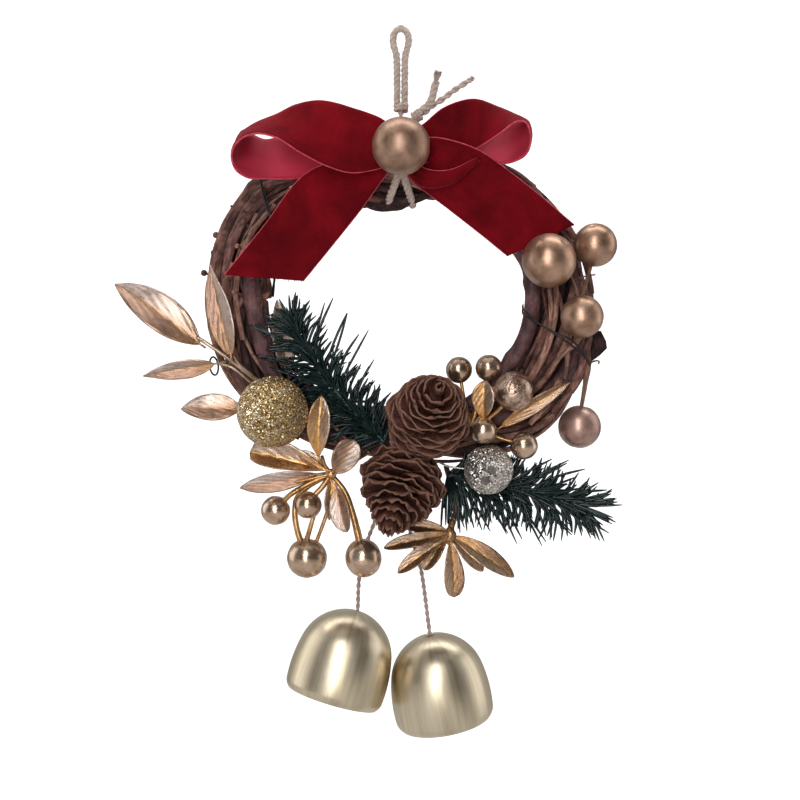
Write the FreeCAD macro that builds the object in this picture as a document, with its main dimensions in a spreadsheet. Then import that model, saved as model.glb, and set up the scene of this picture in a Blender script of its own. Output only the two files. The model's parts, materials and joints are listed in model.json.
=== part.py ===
import FreeCAD, Part
import Sketcher
import math
import os

# A hanging ornament: a twisted grapevine ring on a jute loop, a velvet bow with
# a gold bead, gold berries, leaf sprays, cones, evergreen sprigs and glitter
# balls, and two bells with clappers below it.
# Row frame: origin where the hanging eye bears on its hook, +Z up, -Y is the
# decorated front, -X the left. Places are written about the centre of the vine
# ring and moved to the row frame by at() or path(). Millimetres and degrees.

Vector = FreeCAD.Vector
Placement = FreeCAD.Placement
Rotation = FreeCAD.Rotation

# ---------------------------------------------------------------- dimensions
DIMS = {
    # frame and hanger
    "eye_above_ring_centre": 103.0, "ring_side_shift": 0.8,
    "twine_radius": 1.35, "collar_radius": 2.9, "peg_radius": 1.3,
    "knot_radius": 3.0, "knot_bore_radius": 1.6, "side_knot_radius": 2.2,
    "tail_radius": 1.1, "top_wrap_radius": 12.4,
    # vine ring and wires
    "core_cane_radius": 3.6, "cane_radius": 3.2, "outer_cane_radius": 1.7,
    "tendril_radius": 0.9, "cane_ring_offset": 7.1, "outer_cane_offset": 12.2,
    "binding_wire_radius": 0.5, "wire_ring_radius": 3.4, "wire_ring_section": 0.35,
    # bow; the bead's half bore is where its ball meets the thread hole
    "ribbon_width": 25.0, "ribbon_thickness": 0.9,
    "left_loop_length": 62.0, "right_loop_length": 44.0, "loop_depth": 17.0,
    "pinch_height": 11.0, "pinch_depth": 3.2,
    "wrap_length": 9.0, "wrap_inner_depth": 4.0, "wrap_inner_height": 12.4,
    "wrap_wall": 0.9,
    "bead_radius": 10.6, "bead_hole_radius": 1.7, "bead_half_bore": 10.4628,
    # berries, balls and stems
    "berry_1_radius": 9.99, "berry_2_radius": 8.1,
    "berry_3_radius": 7.93, "berry_4_radius": 8.1,
    "small_berry_1_radius": 5.5, "small_berry_2_radius": 5.1, "small_berry_3_radius": 7.5,
    "small_berry_4_radius": 6.8, "small_berry_5_radius": 5.0, "small_berry_6_radius": 5.0,
    "small_berry_7_radius": 7.4, "small_berry_8_radius": 5.0, "small_berry_9_radius": 5.2,
    "gold_ball_radius": 13.06, "silver_ball_radius": 9.2,
    "wire_stem_radius": 0.8, "hook_stem_radius": 1.0, "spray_stem_radius": 1.1,
    "leaf_thickness": 0.6,
    # sprigs and cones
    "sprig_stem_radius": 0.9, "needle_root_radius": 0.6, "needle_tip_radius": 0.2,
    "cone_radius": 16.0, "cone_length": 31.0,
    # bells
    "bell_radius": 19.1, "bell_height": 35.2, "bell_wall": 0.8, "crown_hole_radius": 1.6,
    "bell_cord_radius": 0.85, "bottom_wrap_radius": 11.9, "cord_knot_radius": 3.7,
    "stop_knot_radius": 2.5, "clapper_wire_radius": 0.5, "clapper_eye_radius": 1.3,
    "clapper_radius": 3.6, "clapper_neck_radius": 1.1,
}
# leaf: (length, width)
LEAF_SIZES = {
    "spray_leaf_1": (37.0, 13.4), "spray_leaf_2": (29.0, 7.4),
    "spray_leaf_3": (33.5, 8.2), "spray_leaf_4": (24.0, 8.6),
    "pale_leaf": (27.5, 7.2),
    "left_leaf_1": (22.0, 7.4), "left_leaf_2": (19.0, 7.4), "left_leaf_3": (23.0, 6.0),
    "left_leaf_4": (7.0, 4.6), "left_leaf_5": (15.5, 7.2),
    "right_leaf_1": (13.0, 7.4), "right_leaf_2": (30.5, 4.6),
    "low_leaf_1": (24.5, 5.4), "low_leaf_2": (23.5, 5.4), "low_leaf_3": (16.0, 5.0),
    "low_leaf_4": (23.0, 7.6), "low_leaf_5": (28.5, 6.8), "low_leaf_6": (21.0, 5.6),
}
for leaf_name, (leaf_length, leaf_width) in LEAF_SIZES.items():
    DIMS[leaf_name + "_length"] = leaf_length
    DIMS[leaf_name + "_width"] = leaf_width

os.makedirs("parts", exist_ok=True)
doc = FreeCAD.newDocument("ornament")
sheet = doc.addObject("Spreadsheet::Sheet", "Dims")
for row, (alias, number) in enumerate(DIMS.items(), 1):
    sheet.set("A%d" % row, alias)
    sheet.set("B%d" % row, "%g" % number)
    sheet.setAlias("B%d" % row, alias)
doc.recompute()
VALUES = {alias: float(sheet.get(alias)) for alias in DIMS}


def dim(alias):
    return VALUES[alias]


# A size is a pair: its number and the expression that gives it.
ZERO = (0.0, "0")


def size(const=0.0, **terms):
    """A size as a constant plus sheet values times factors."""
    number = const + sum(dim(alias) * factor for alias, factor in terms.items())
    text = " + ".join("Dims.%s * %.6g" % term for term in terms.items())
    if abs(const) > 1e-12 or not terms:
        text = (text + " + " if text else "") + "(%.6g)" % const
    return number, text


def scaled(length, factor):
    return length[0] * factor, "(%s) * %g" % (length[1], factor)


def minus(length):
    return scaled(length, -1)


# ---------------------------------------------------------------- places
def at(x, y, z):
    """A point given about the ring centre, in the row frame."""
    return Vector(x + dim("ring_side_shift"), y, z - dim("eye_above_ring_centre"))


def path(points):
    return [at(*point) for point in points]


def aimed(base, direction):
    """A placement at base with local Z along direction."""
    return Placement(base, Rotation(Vector(0, 0, 1), direction))


def turned(x_axis, up):
    """A rotation whose local X lies along x_axis and whose local Z is near up."""
    x = Vector(x_axis).normalize()
    z = (up - x * up.dot(x)).normalize()
    y = z.cross(x)
    return Rotation(FreeCAD.Matrix(x.x, y.x, z.x, 0, x.y, y.y, z.y, 0,
                                   x.z, y.z, z.z, 0, 0, 0, 0, 1))


# ---------------------------------------------------------------- building blocks
pieces = []


def keep(obj, label):
    """Mark an object as a finished piece, written under its label."""
    obj.Label = label
    pieces.append(obj)


def spline(points):
    curve = Part.BSplineCurve()
    curve.interpolate(points)
    return curve


def rod(name, points, radius):
    """A round rod swept along a smooth curve through the points."""
    curve = spline(points)
    spine = doc.addObject("Part::Feature", name + "_path")
    spine.Shape = Part.Wire([curve.toShape()])
    section = doc.addObject("Part::Circle", name + "_section")
    section.setExpression("Radius", "Dims." + radius)
    start = curve.FirstParameter
    section.Placement = aimed(curve.value(start), curve.tangent(start)[0])
    sweep = doc.addObject("Part::Sweep", name + "_sweep")
    sweep.Sections = [section]
    sweep.Spine = (spine, ["Edge1"])
    sweep.Solid = True
    sweep.Frenet = False
    return sweep


def ball(name, radius, centre):
    obj = doc.addObject("Part::Sphere", name)
    obj.setExpression("Radius", "Dims." + radius)
    obj.Placement = Placement(centre, Rotation())
    return obj


def peg(name, radius, base, tip):
    obj = doc.addObject("Part::Cylinder", name)
    obj.setExpression("Radius", "Dims." + radius)
    obj.Height = (tip - base).Length
    obj.Placement = aimed(base, tip - base)
    return obj


def torus(name, radius, section_radius, centre, axis):
    obj = doc.addObject("Part::Torus", name)
    obj.setExpression("Radius1", "Dims." + radius)
    obj.setExpression("Radius2", "Dims." + section_radius)
    obj.Placement = aimed(centre, axis)
    return obj


def group(name, members):
    obj = doc.addObject("Part::Compound", name)
    obj.Links = members
    return obj


def fuse(name, members):
    obj = doc.addObject("Part::MultiFuse", name)
    obj.Shapes = members
    return obj


def arc_between(start, end, radius, side):
    """An arc from start to end, bulging to the left (+1) or right (-1) of its run."""
    chord = end - start
    left = Vector(-chord.y, chord.x, 0).normalize()
    half_chord = chord.Length / 2
    sagitta_base = math.sqrt(radius * radius - half_chord * half_chord)
    centre = (start + end) * 0.5 - left * (sagitta_base * side)
    # An arc bulging left runs clockwise, so it is stored from end to start.
    first, last = (end, start) if side > 0 else (start, end)
    first_angle = math.atan2(first.y - centre.y, first.x - centre.x)
    last_angle = math.atan2(last.y - centre.y, last.x - centre.x)
    while last_angle <= first_angle:
        last_angle += 2 * math.pi
    circle = Part.Circle(centre, Vector(0, 0, 1), radius)
    return Part.ArcOfCircle(circle, first_angle, last_angle)


def draw(sketch, loops):
    """Closed loops of lines and arcs. Each corner is (x, y, edge), and the edge
    runs to the next corner: None is a line, ("arc", radius, side) an arc of that
    radius, ("round", centre_x, side) a half turn whose centre has that x."""
    constraints = []
    bindings = []

    def constrain(kind, *places, to=None):
        if to is not None:
            bindings.append((len(constraints), to[1]))
            places += (to[0],)
        constraints.append(Sketcher.Constraint(kind, *places))

    for loop in loops:
        # (geometry index, its start vertex, its end vertex), in loop order
        edges = []
        for (x, y, edge), (next_x, next_y, _) in zip(loop, loop[1:] + loop[:1]):
            start, end = Vector(x[0], y[0], 0), Vector(next_x[0], next_y[0], 0)
            if edge is None:
                edges.append((sketch.addGeometry(Part.LineSegment(start, end), False), 1, 2))
                continue
            kind, value, side = edge
            radius = value[0] if kind == "arc" else (end - start).Length / 2
            arc = sketch.addGeometry(arc_between(start, end, radius, side), False)
            edges.append((arc, 1, 2) if side < 0 else (arc, 2, 1))
        for i, (x, y, edge) in enumerate(loop):
            index, first, last = edges[i]
            constrain("Coincident", index, last, *edges[(i + 1) % len(loop)][:2])
            for value, kind, axis in ((x, "DistanceX", -2), (y, "DistanceY", -1)):
                if abs(value[0]) < 1e-9:
                    constrain("PointOnObject", index, first, axis)
                else:
                    constrain(kind, -1, 1, index, first, to=value)
            if edge is not None and edge[0] == "arc":
                constrain("Radius", index, to=edge[1])
            elif edge is not None:
                constrain("DistanceX", -1, 1, index, 3, to=edge[1])
    sketch.addConstraint(constraints)
    for index, expression in bindings:
        sketch.setExpression("Constraints[%d]" % index, expression)


def polygon(corners):
    return [(x, y, None) for x, y in corners]


def body_with(name, plane, loops):
    body = doc.addObject("PartDesign::Body", name)
    sketch = body.newObject("Sketcher::SketchObject", name + "_sketch")
    support = [feature for feature in body.Origin.OriginFeatures if feature.Role == plane][0]
    sketch.AttachmentSupport = [(support, "")]
    sketch.MapMode = "FlatFace"
    draw(sketch, loops)
    return body, sketch


def padded(name, plane, loops, length, placement):
    body, sketch = body_with(name, plane, loops)
    pad = body.newObject("PartDesign::Pad", name + "_pad")
    pad.Profile = sketch
    pad.setExpression("Length", length)
    body.Placement = placement
    return body


def revolved(name, loop, placement):
    """A body of revolution about its own Z axis."""
    body, sketch = body_with(name, "XZ_Plane", [loop])
    turn = body.newObject("PartDesign::Revolution", name + "_turn")
    turn.Profile = sketch
    turn.ReferenceAxis = (sketch, ["V_Axis"])
    turn.Angle = 360.0
    body.Placement = placement
    return body


def leaf(name, base, tip, normal):
    """A lens-shaped leaf ending at tip, seen from base, its face towards normal."""
    length, width = dim(name + "_length"), dim(name + "_width")
    length_text, width_text = "Dims.%s_length" % name, "Dims.%s_width" % name
    radius = ((length * length / 4 + width * width / 4) / width,
              "({0} * {0} / 4 + {1} * {1} / 4) / {1}".format(length_text, width_text))
    loop = [(ZERO, ZERO, ("arc", radius, 1)),
            ((length, length_text), ZERO, ("arc", radius, 1))]
    along = (at(*tip) - at(*base)).normalize()
    placement = Placement(at(*tip) - along * length, turned(along, Vector(*normal)))
    return padded(name, "XY_Plane", [loop], "Dims.leaf_thickness", placement)


def leaf_group(prefix, label, rows):
    """Numbered leaves as one piece; each row is (base, tip, normal)."""
    leaves = [leaf("%s_%d" % (prefix, n), *row) for n, row in enumerate(rows, 1)]
    keep(group(prefix + "_group", leaves), label)


# ---------------------------------------------------------------- vine ring
# (x, z) of the bundle's centreline, from the left counterclockwise seen from the front
CENTRELINE = [
    (-61.94, 1.1), (-59.28, -14.1), (-53.58, -26.26), (-42.94, -37.66), (-27.74, -45.26),
    (-10.64, -48.87), (3.42, -48.87), (23.56, -49.06), (38.76, -44.5), (49.02, -38.04),
    (57, -23.6), (60.42, -4.6), (58.9, 12.5), (53.2, 24.66), (42.94, 34.92),
    (25.46, 45.56), (11.78, 49.17), (0, 49.74), (-13.3, 49.17), (-35.34, 44.04),
    (-50.54, 32.64), (-59.28, 18.2),
]
SAMPLE_COUNT = 720
# Spacings of the points a cane is swept through, in order of preference
CANE_SPACINGS = (9.0, 8.0, 7.0, 10.0, 6.0)
OUTER_TURNS = 3
# label, start angle, end angle, phase round the bundle
OUTER_CANES = [
    ("vine_outer_1", -22, 82, 20), ("vine_outer_2", 98, 203, 80),
    ("vine_outer_3", -14, 84, 200), ("vine_outer_4", 96, 196, 260),
]
# start angle, end angle, phase round the bundle
TENDRILS = [(-5, 78, 110), (102, 190, 170), (20, 80, 290), (100, 165, 350)]
TENDRIL_INSET = 0.6

centreline = Part.BSplineCurve()
centreline.interpolate([at(x, 0, z) for x, z in CENTRELINE], PeriodicFlag=True)
ring_centre = at(0, 0, 0)


def sample_centreline():
    """Rows of (arc length, point, tangent) once round the ring."""
    first, last = centreline.FirstParameter, centreline.LastParameter
    rows = []
    run = 0.0
    for k in range(SAMPLE_COUNT + 1):
        parameter = first + (last - first) * k / SAMPLE_COUNT
        point = centreline.value(parameter)
        if rows:
            run += (point - rows[-1][1]).Length
        rows.append((run, point, centreline.tangent(parameter)[0]))
    return rows


samples = sample_centreline()
LAP = samples[-1][0]


def along_ring(angle):
    """Arc length at which the centreline stands at this angle about the centre."""
    def miss(sample):
        arm = sample[1] - ring_centre
        return abs((math.degrees(math.atan2(arm.z, arm.x)) - angle + 180) % 360 - 180)
    return min(samples[:-1], key=miss)[0]


def frame_at(run):
    """The centreline point at an arc length, and the outward direction there."""
    run = run % LAP
    low, high = 0, SAMPLE_COUNT
    while high - low > 1:
        middle = (low + high) // 2
        if samples[middle][0] <= run:
            low = middle
        else:
            high = middle
    share = (run - samples[low][0]) / (samples[high][0] - samples[low][0])
    point = samples[low][1] * (1 - share) + samples[high][1] * share
    tangent = (samples[low][2] * (1 - share) + samples[high][2] * share).normalize()
    outward = tangent.cross(Vector(0, 1, 0)).normalize()
    if outward.dot(point - ring_centre) < 0:
        outward = outward * -1
    return point, outward


def frame_towards(x, z):
    """The centreline frame in the direction of (x, z) from the ring centre."""
    return frame_at(along_ring(math.degrees(math.atan2(z, x))))


def bundle_point(run, offset, phase, turns):
    """A point off the centreline; phase 0 is outward and 90 is to the back."""
    point, outward = frame_at(run)
    angle = math.radians(phase) + turns * 2 * math.pi * (run % LAP) / LAP
    return (point + outward * (offset * math.cos(angle))
            + Vector(0, 1, 0) * (offset * math.sin(angle)))


def cane(name, radius, offset, phase, turns, start, length):
    # A sweep can come out unsound at one spacing of its points, so the next is tried.
    for spacing in CANE_SPACINGS:
        count = max(10, int(length / spacing))
        points = [bundle_point(start + length * i / count, offset, phase, turns)
                  for i in range(count + 1)]
        made = rod(name, points, radius)
        doc.recompute()
        if not made.Shape.isNull() and made.Shape.isValid() and made.Shape.Volume > 0:
            return made
        for obj in [made] + made.Sections + [made.Spine[0]]:
            doc.removeObject(obj.Name)
    raise SystemExit("no sound cane for " + name)


def partial_cane(name, radius, offset, low_angle, high_angle, phase):
    """A cane that covers only the stretch between two angles."""
    start = along_ring(low_angle)
    length = (along_ring(high_angle) - start) % LAP
    return cane(name, radius, offset, phase, OUTER_TURNS, start, length)


keep(cane("core", "core_cane_radius", offset=0.0, phase=0, turns=0,
          start=0.30 * LAP, length=0.985 * LAP), "vine_core")
for i in range(6):
    made = cane("cane_%d" % (i + 1), "cane_radius", dim("cane_ring_offset"),
                phase=60 * i, turns=2,
                start=(0.07 + 0.161 * i) * LAP, length=(0.975 - 0.004 * i) * LAP)
    keep(made, "vine_cane_%d" % (i + 1))
for label, low, high, phase in OUTER_CANES:
    keep(partial_cane(label + "_rod", "outer_cane_radius", dim("outer_cane_offset"),
                      low, high, phase), label)
keep(group("tendril_group", [
    partial_cane("tendril_%d" % n, "tendril_radius",
                 dim("outer_cane_offset") - TENDRIL_INSET, *row)
    for n, row in enumerate(TENDRILS)]), "vine_tendrils")

# ---------------------------------------------------------------- wires on the ring
HOOP_SLANT = Vector(-0.19, 0, 0.98)
HOOP_REACH = 16.0         # outward from the centreline
HOOP_HALF_DEPTH = 15.4    # along Y
HOOP_START, HOOP_SWEEP, HOOP_STEPS = 100, 340.0, 24
RIGHT_WIRE = [
    (43.89, 3, 0.11), (44.83, -6, -2.61), (48.45, -13.6, -7.82), (55, -15.6, -11.62),
    (60.18, -15.8, -14.97), (65.5, -14.6, -18.29), (71.13, -10.5, -22.67),
    (75.79, -2, -27.05), (76.26, 6, -30.77),
]


def left_hoop():
    """Points of an open oblique turn round the bundle, its gap at the back."""
    middle, outward = frame_towards(-52.44, 38.76)
    half_width = HOOP_REACH / abs(HOOP_SLANT.dot(outward))
    points = []
    for i in range(HOOP_STEPS + 1):
        angle = math.radians(HOOP_START + HOOP_SWEEP * i / HOOP_STEPS)
        points.append(middle + HOOP_SLANT * (half_width * math.cos(angle))
                      + Vector(0, 1, 0) * (HOOP_HALF_DEPTH * math.sin(angle)))
    return points


keep(rod("left_wire", left_hoop(), "binding_wire_radius"), "binding_wire_left")
keep(rod("right_wire", path(RIGHT_WIRE), "binding_wire_radius"), "binding_wire_right")
keep(torus("wire_ring_body", "wire_ring_radius", "wire_ring_section",
           at(-70.79, -10.5, -24.17), Vector(0.92, -0.38, 0.1)), "small_wire_ring")

# ---------------------------------------------------------------- hanger
HOOK_X = -dim("ring_side_shift")
# (distance from the hook's x, z) up one strand to the top of the eye
STRAND = [
    (1.45, 74.5), (1.45, 80), (1.5, 88), (1.7, 94), (2.9, 98.6), (2.5, 102.5),
    (0.0, dim("eye_above_ring_centre") + dim("twine_radius")),
]
COLLAR = at(HOOK_X, 0, 74.0)
LOOP_PEG_END = at(HOOK_X, 0, 67.3)
KNOT = at(HOOK_X, 0, 66.95)
KNOT_BORE = path([(HOOK_X, 0, 66.85), (HOOK_X, 0, 73.0)])
SIDE_KNOT = at(5.69, -0.6, 71.12)


def hanging_loop():
    """A doubled strand with an eye, on a collar and a peg that enters the knot."""
    strand = [at(HOOK_X + x, 0, z) for x, z in STRAND]
    strand += [at(HOOK_X - x, 0, z) for x, z in reversed(STRAND[:-1])]
    return fuse("loop_fused", [
        rod("loop_strands", strand, "twine_radius"),
        ball("loop_collar", "collar_radius", COLLAR),
        peg("loop_peg", "peg_radius", LOOP_PEG_END, COLLAR)])


def hanger_knot():
    """A main and a side knot, bored from above for the loop's peg."""
    solid = fuse("knot_solid", [
        ball("knot_ball", "knot_radius", KNOT),
        ball("knot_side", "side_knot_radius", SIDE_KNOT),
        peg("knot_link", "twine_radius", KNOT, SIDE_KNOT)])
    knot = doc.addObject("Part::Cut", "knot_cut")
    knot.Base = solid
    knot.Tool = peg("knot_bore", "knot_bore_radius", *KNOT_BORE)
    return knot


keep(hanging_loop(), "hanging_loop")
keep(hanger_knot(), "hanger_knot")
keep(group("tail_pair", [
    rod("tail_a", [SIDE_KNOT + Vector(1.6, -0.3, 2.2)] + path([
        (10.26, 0.2, 75.99), (11.79, 0.8, 81.03), (12.93, 0.6, 86.7)]), "tail_radius"),
    rod("tail_b", [SIDE_KNOT + Vector(2.9, 0.5, 0.4)] + path([
        (11.04, 1.2, 74.63), (15.61, 1.4, 78.08), (20.19, 1.6, 81.54),
        (27.41, 1.2, 85.66)]), "tail_radius")]), "knot_tails")
top_middle = frame_towards(HOOK_X, 49.8)[0]
keep(torus("top_wrap", "top_wrap_radius", "twine_radius",
           Vector(0, 0, top_middle.z), Vector(1, 0, 0)), "hanger_wrap")

# ---------------------------------------------------------------- bow
PINCH = at(-0.77, -17.7, 57.25)
WRAP_FORWARD = Vector(0, -3.0, 0)    # wrap centre from the pinch
RIBBON_UP = Vector(0, 0.407, 0.914)  # the ribbon's width lies near this
MASK_MARGIN = 8
TAIL_BACK_Y = -16.3
# (x, z) corners of the flat tails
LEFT_TAIL = [
    (-4.86, 47.81), (-11.54, 53.02), (-31.61, 48.19), (-38.3, 44.84),
    (-66.16, 9.92), (-62.08, 8.43), (-36.07, 8.43), (-16, 33.7),
]
RIGHT_TAIL = [
    (5.55, 48.56), (10.01, 53.02), (26.73, 53.76), (42.33, 46.33),
    (63.14, 28.12), (42.33, 17.35), (38.62, 16.6), (10.75, 38.9),
]
BEAD = at(-0.78, -34.6, 54.98)


def bow_loop(name, heading, start):
    """A ribbon loop: a teardrop band as wide as the ribbon, gathered at the pinch."""
    length = name + "_length"
    rotation = turned(heading, RIBBON_UP)
    base = start - rotation.multVec(Vector(0, 0, 1)) * (dim("ribbon_width") / 2)

    def teardrop(near_x, thickness_in):
        pinch = size(pinch_depth=0.5, ribbon_thickness=-thickness_in)
        radius = size(loop_depth=0.5, ribbon_thickness=-thickness_in)
        end_x = size(**{length: 1.0, "loop_depth": -0.5})
        return [(near_x, minus(pinch), None), (end_x, minus(radius), ("round", end_x, -1)),
                (end_x, radius, None), (near_x, pinch, None)]

    band = padded(name + "_band", "XY_Plane", [teardrop(ZERO, 0), teardrop(size(3.0), 1)],
                  "Dims.ribbon_width", Placement(base, rotation))

    # The mask narrows the band from full width at gather_x to the pinch height.
    near_x, gather_x, far_x = size(-2), size(24), size(2, **{length: 1})
    width = size(ribbon_width=1)
    pinch_low = size(ribbon_width=0.5, pinch_height=-0.5)
    pinch_high = size(ribbon_width=0.5, pinch_height=0.5)
    outline = polygon([(near_x, pinch_low), (gather_x, ZERO), (far_x, ZERO),
                       (far_x, width), (gather_x, width), (near_x, pinch_high)])
    half_depth = (dim("loop_depth") + MASK_MARGIN) / 2
    mask_base = base + rotation.multVec(Vector(0, 1, 0)) * half_depth
    mask = padded(name + "_outline", "XZ_Plane", [outline],
                  "Dims.loop_depth + %d" % MASK_MARGIN, Placement(mask_base, rotation))
    common = doc.addObject("Part::MultiCommon", name)
    common.Shapes = [band, mask]
    return common


def ribbon_tail(name, corners):
    """A flat ribbon tail standing in an upright plane."""
    loop = polygon([(size(x, ring_side_shift=1), size(z, eye_above_ring_centre=-1))
                    for x, z in corners])
    return padded(name, "XZ_Plane", [loop], "Dims.ribbon_thickness",
                  Placement(Vector(0, TAIL_BACK_Y, 0), Rotation()))


def octagon(half_depth, half_height):
    """A rectangle with its corners cut off: x is depth, y is height."""
    flat_x, flat_y = scaled(half_depth, 0.55), scaled(half_height, 0.8)
    return polygon([
        (flat_x, minus(half_height)), (half_depth, minus(flat_y)),
        (half_depth, flat_y), (flat_x, half_height),
        (minus(flat_x), half_height), (minus(half_depth), flat_y),
        (minus(half_depth), minus(flat_y)), (minus(flat_x), minus(half_height))])


def centre_wrap():
    """A faceted tube along X round the gathered ribbon."""
    outer = octagon(size(wrap_inner_depth=0.5, wrap_wall=1),
                    size(wrap_inner_height=0.5, wrap_wall=1))
    inner = octagon(size(wrap_inner_depth=0.5), size(wrap_inner_height=0.5))
    base = PINCH + WRAP_FORWARD - Vector(dim("wrap_length") / 2, 0, 0)
    return padded("centre_wrap", "YZ_Plane", [outer, inner], "Dims.wrap_length",
                  Placement(base, Rotation()))


def bead():
    """A turned bead with its thread hole along X."""
    hole = size(bead_hole_radius=1)
    half_bore = size(bead_half_bore=1)
    loop = [(hole, half_bore, ("arc", size(bead_radius=1), 1)),
            (hole, minus(half_bore), None)]
    return revolved("bead_turned", loop,
                    Placement(BEAD, turned(Vector(0, 1, 0), Vector(1, 0, 0))))


keep(bow_loop("left_loop", Vector(-1, -0.10, -0.03), PINCH + Vector(-5.1, -3.0, 0.3)),
     "bow_left_loop")
keep(bow_loop("right_loop", Vector(1, -0.16, 0.05), PINCH + Vector(4.9, -3.0, 0.3)),
     "bow_right_loop")
keep(ribbon_tail("left_tail", LEFT_TAIL), "bow_left_tail")
keep(ribbon_tail("right_tail", RIGHT_TAIL), "bow_right_tail")
keep(centre_wrap(), "bow_centre_wrap")
keep(bead(), "bow_bead")

# ---------------------------------------------------------------- large berries and balls
# centre, stem root, stem bend, stem radius
LARGE_BERRIES = [
    ((53.56, -24.4, 14.31), (39.16, -13, 0.41), (43.84, -21.5, 5.86), "wire_stem_radius"),
    ((71.48, -15.8, 20.71), (75.25, -7, 0.73), (74.71, -12, 7.94), "wire_stem_radius"),
    ((66, -21.8, -6.17), (76.76, -7, -16.2), (73.54, -16, -13.86), "wire_stem_radius"),
    ((66.6, -5, -46.98), (69.32, -17.4, -19.84), (68.31, -12.5, -29.43), "hook_stem_radius"),
]
SILVER_BALL = (31.86, -14.2, -62.83)
BALL_STEM_GAP = 0.1


def ball_stem(name, ball_radius, centre, root, bend, stem_radius):
    """A stem from root through bend, ending square on the ball."""
    centre, root, bend = path([centre, root, bend])
    outward = (bend - centre).normalize()
    end = centre + outward * (dim(ball_radius) + BALL_STEM_GAP)
    return rod(name, [root, bend, end], stem_radius)


ball_stems = []
for n, berry in enumerate(LARGE_BERRIES, 1):
    radius = "berry_%d_radius" % n
    keep(ball("large_berry_%d" % n, radius, at(*berry[0])), "large_berry_%d" % n)
    ball_stems.append(ball_stem("stem_b%d" % n, radius, *berry))
keep(ball("gold_ball", "gold_ball_radius", at(-48.04, -23.6, -41.24)), "gold_glitter_ball")
keep(ball("silver_ball", "silver_ball_radius", at(*SILVER_BALL)), "silver_glitter_ball")
ball_stems.append(ball_stem("stem_silver", "silver_ball_radius", SILVER_BALL,
                            (14.17, -12.5, -61.92), (18.25, -13.4, -63),
                            "wire_stem_radius"))
keep(group("ball_stem_group", ball_stems), "ball_stems")

# ---------------------------------------------------------------- left spray
keep(group("spray_stem_pair", [
    rod("spray_stem_a", path([
        (-76.02, -17.6, -14.1), (-66.05, -17.2, -19.1), (-53.89, -16.2, -28.36)]),
        "spray_stem_radius"),
    rod("spray_stem_b", path([
        (-75.24, -18, -18), (-65.64, -17.6, -22.07), (-55.36, -16.4, -30.96)]),
        "spray_stem_radius")]), "spray_stem")
leaf_group("spray_leaf", "spray_leaves", [
    ((-76.79, -17.4, -12.06), (-107.48, -13, 6.38), (0.15, -1, 0.3)),
    ((-75.21, -14.8, -22.38), (-96.82, -14.6, -27.96), (0.1, -1, -0.35)),
    ((-63.24, -19.6, -17.68), (-70.13, -21, 13.27), (-0.4, -1, 0.1)),
    ((-61.85, -10, -38.02), (-83.32, -9, -40.65), (0.0, -1, 0.35))])
keep(leaf("pale_leaf", (-43.51, -9.6, -27.15), (-46.49, -9.8, 0.21), (0.25, -1, 0)),
     "pale_leaf")

# ---------------------------------------------------------------- berry clusters
LEFT_HUB = at(-26.55, -12, -63.06)
RIGHT_HUB = at(31.39, -11.6, -37.65)
# berry centre, shift of the stem's middle, stem root (None: it starts at the hub)
LEFT_BERRIES = [
    ((-47.76, -10, -78.27), (0, 2.6, 1.2), None),
    ((-35.42, -14, -76.02), (0, -0.5, 0), None),
    ((-35.96, -10.5, -96.06), (1.5, 1.7, 0), None),
    ((-14.83, -11.5, -95.98), (0, -0.5, 0), None),
]
RIGHT_BERRIES = [
    ((20.92, -11.5, -25.68), (0, -0.5, 0), None),
    ((31.93, -13.5, -24.97), (0, -0.5, 0), None),
    ((40.86, -18.9, -33.57), (0, -0.5, 0), None),
    ((29.9, -16.4, -48.34), (0, -0.5, 0), None),
    ((45.16, -12.6, -53.92), (0, -0.3, 0), (37.26, -13.6, -46.97)),
]


def berry_cluster(side, rows, first_number, hub, hub_gap, berry_gap):
    """Keep a cluster's berries as one piece and return their stems."""
    balls = []
    stems = []
    for n, (centre, bow, root) in enumerate(rows):
        berry = at(*centre)
        radius = "small_berry_%d_radius" % (first_number + n)
        balls.append(ball("%s_berry_%d" % (side, n + 1), radius, berry))
        start = at(*root) if root else hub + (berry - hub).normalize() * hub_gap
        end = berry - (berry - start).normalize() * (dim(radius) + berry_gap)
        middle = (start + end) * 0.5 + Vector(*bow)
        stems.append(rod("%s_stem_%d" % (side, n + 1), [start, middle, end],
                         "wire_stem_radius"))
    keep(group(side + "_berry_group", balls), side + "_cluster_berries")
    return stems


left_stems = berry_cluster("left", LEFT_BERRIES, first_number=1,
                           hub=LEFT_HUB, hub_gap=2.2, berry_gap=0.5)
left_stems.append(rod("left_stem_main", [LEFT_HUB + Vector(0.6, 0, 2.4)] + path([
    (-24.67, -12.4, -56.32), (-23.19, -12, -51.85)]), "hook_stem_radius"))
keep(group("left_stem_group", left_stems), "left_cluster_stems")
leaf_group("left_leaf", "left_cluster_leaves", [
    ((-31.35, -13.4, -57.41), (-30.56, -14.4, -35.78), (0.35, -1, 0)),
    ((-38.56, -11, -60.1), (-57.35, -10, -57.51), (0, -1, 0.3)),
    ((-38.64, -9.4, -66.53), (-61.26, -8, -69.97), (0, -1, -0.3)),
    ((-23.46, -15.2, -60.33), (-19.72, -16, -53.99), (0.3, -1, 0)),
    ((-24.27, -13, -71.23), (-23.48, -14.5, -86.42), (-0.2, -1, -0.2))])

right_stems = berry_cluster("right", RIGHT_BERRIES, first_number=5,
                            hub=RIGHT_HUB, hub_gap=1.9, berry_gap=0.35)
keep(group("right_stem_group", right_stems), "right_cluster_stems")
leaf_group("right_leaf", "right_cluster_leaves", [
    ((30.11, -15.2, -42.48), (29.28, -17, -29.85), (-0.3, -1, 0.2)),
    ((36.62, -11.6, -46.99), (62.1, -15.2, -30.2), (0.1, -1, 0.1))])

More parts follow.
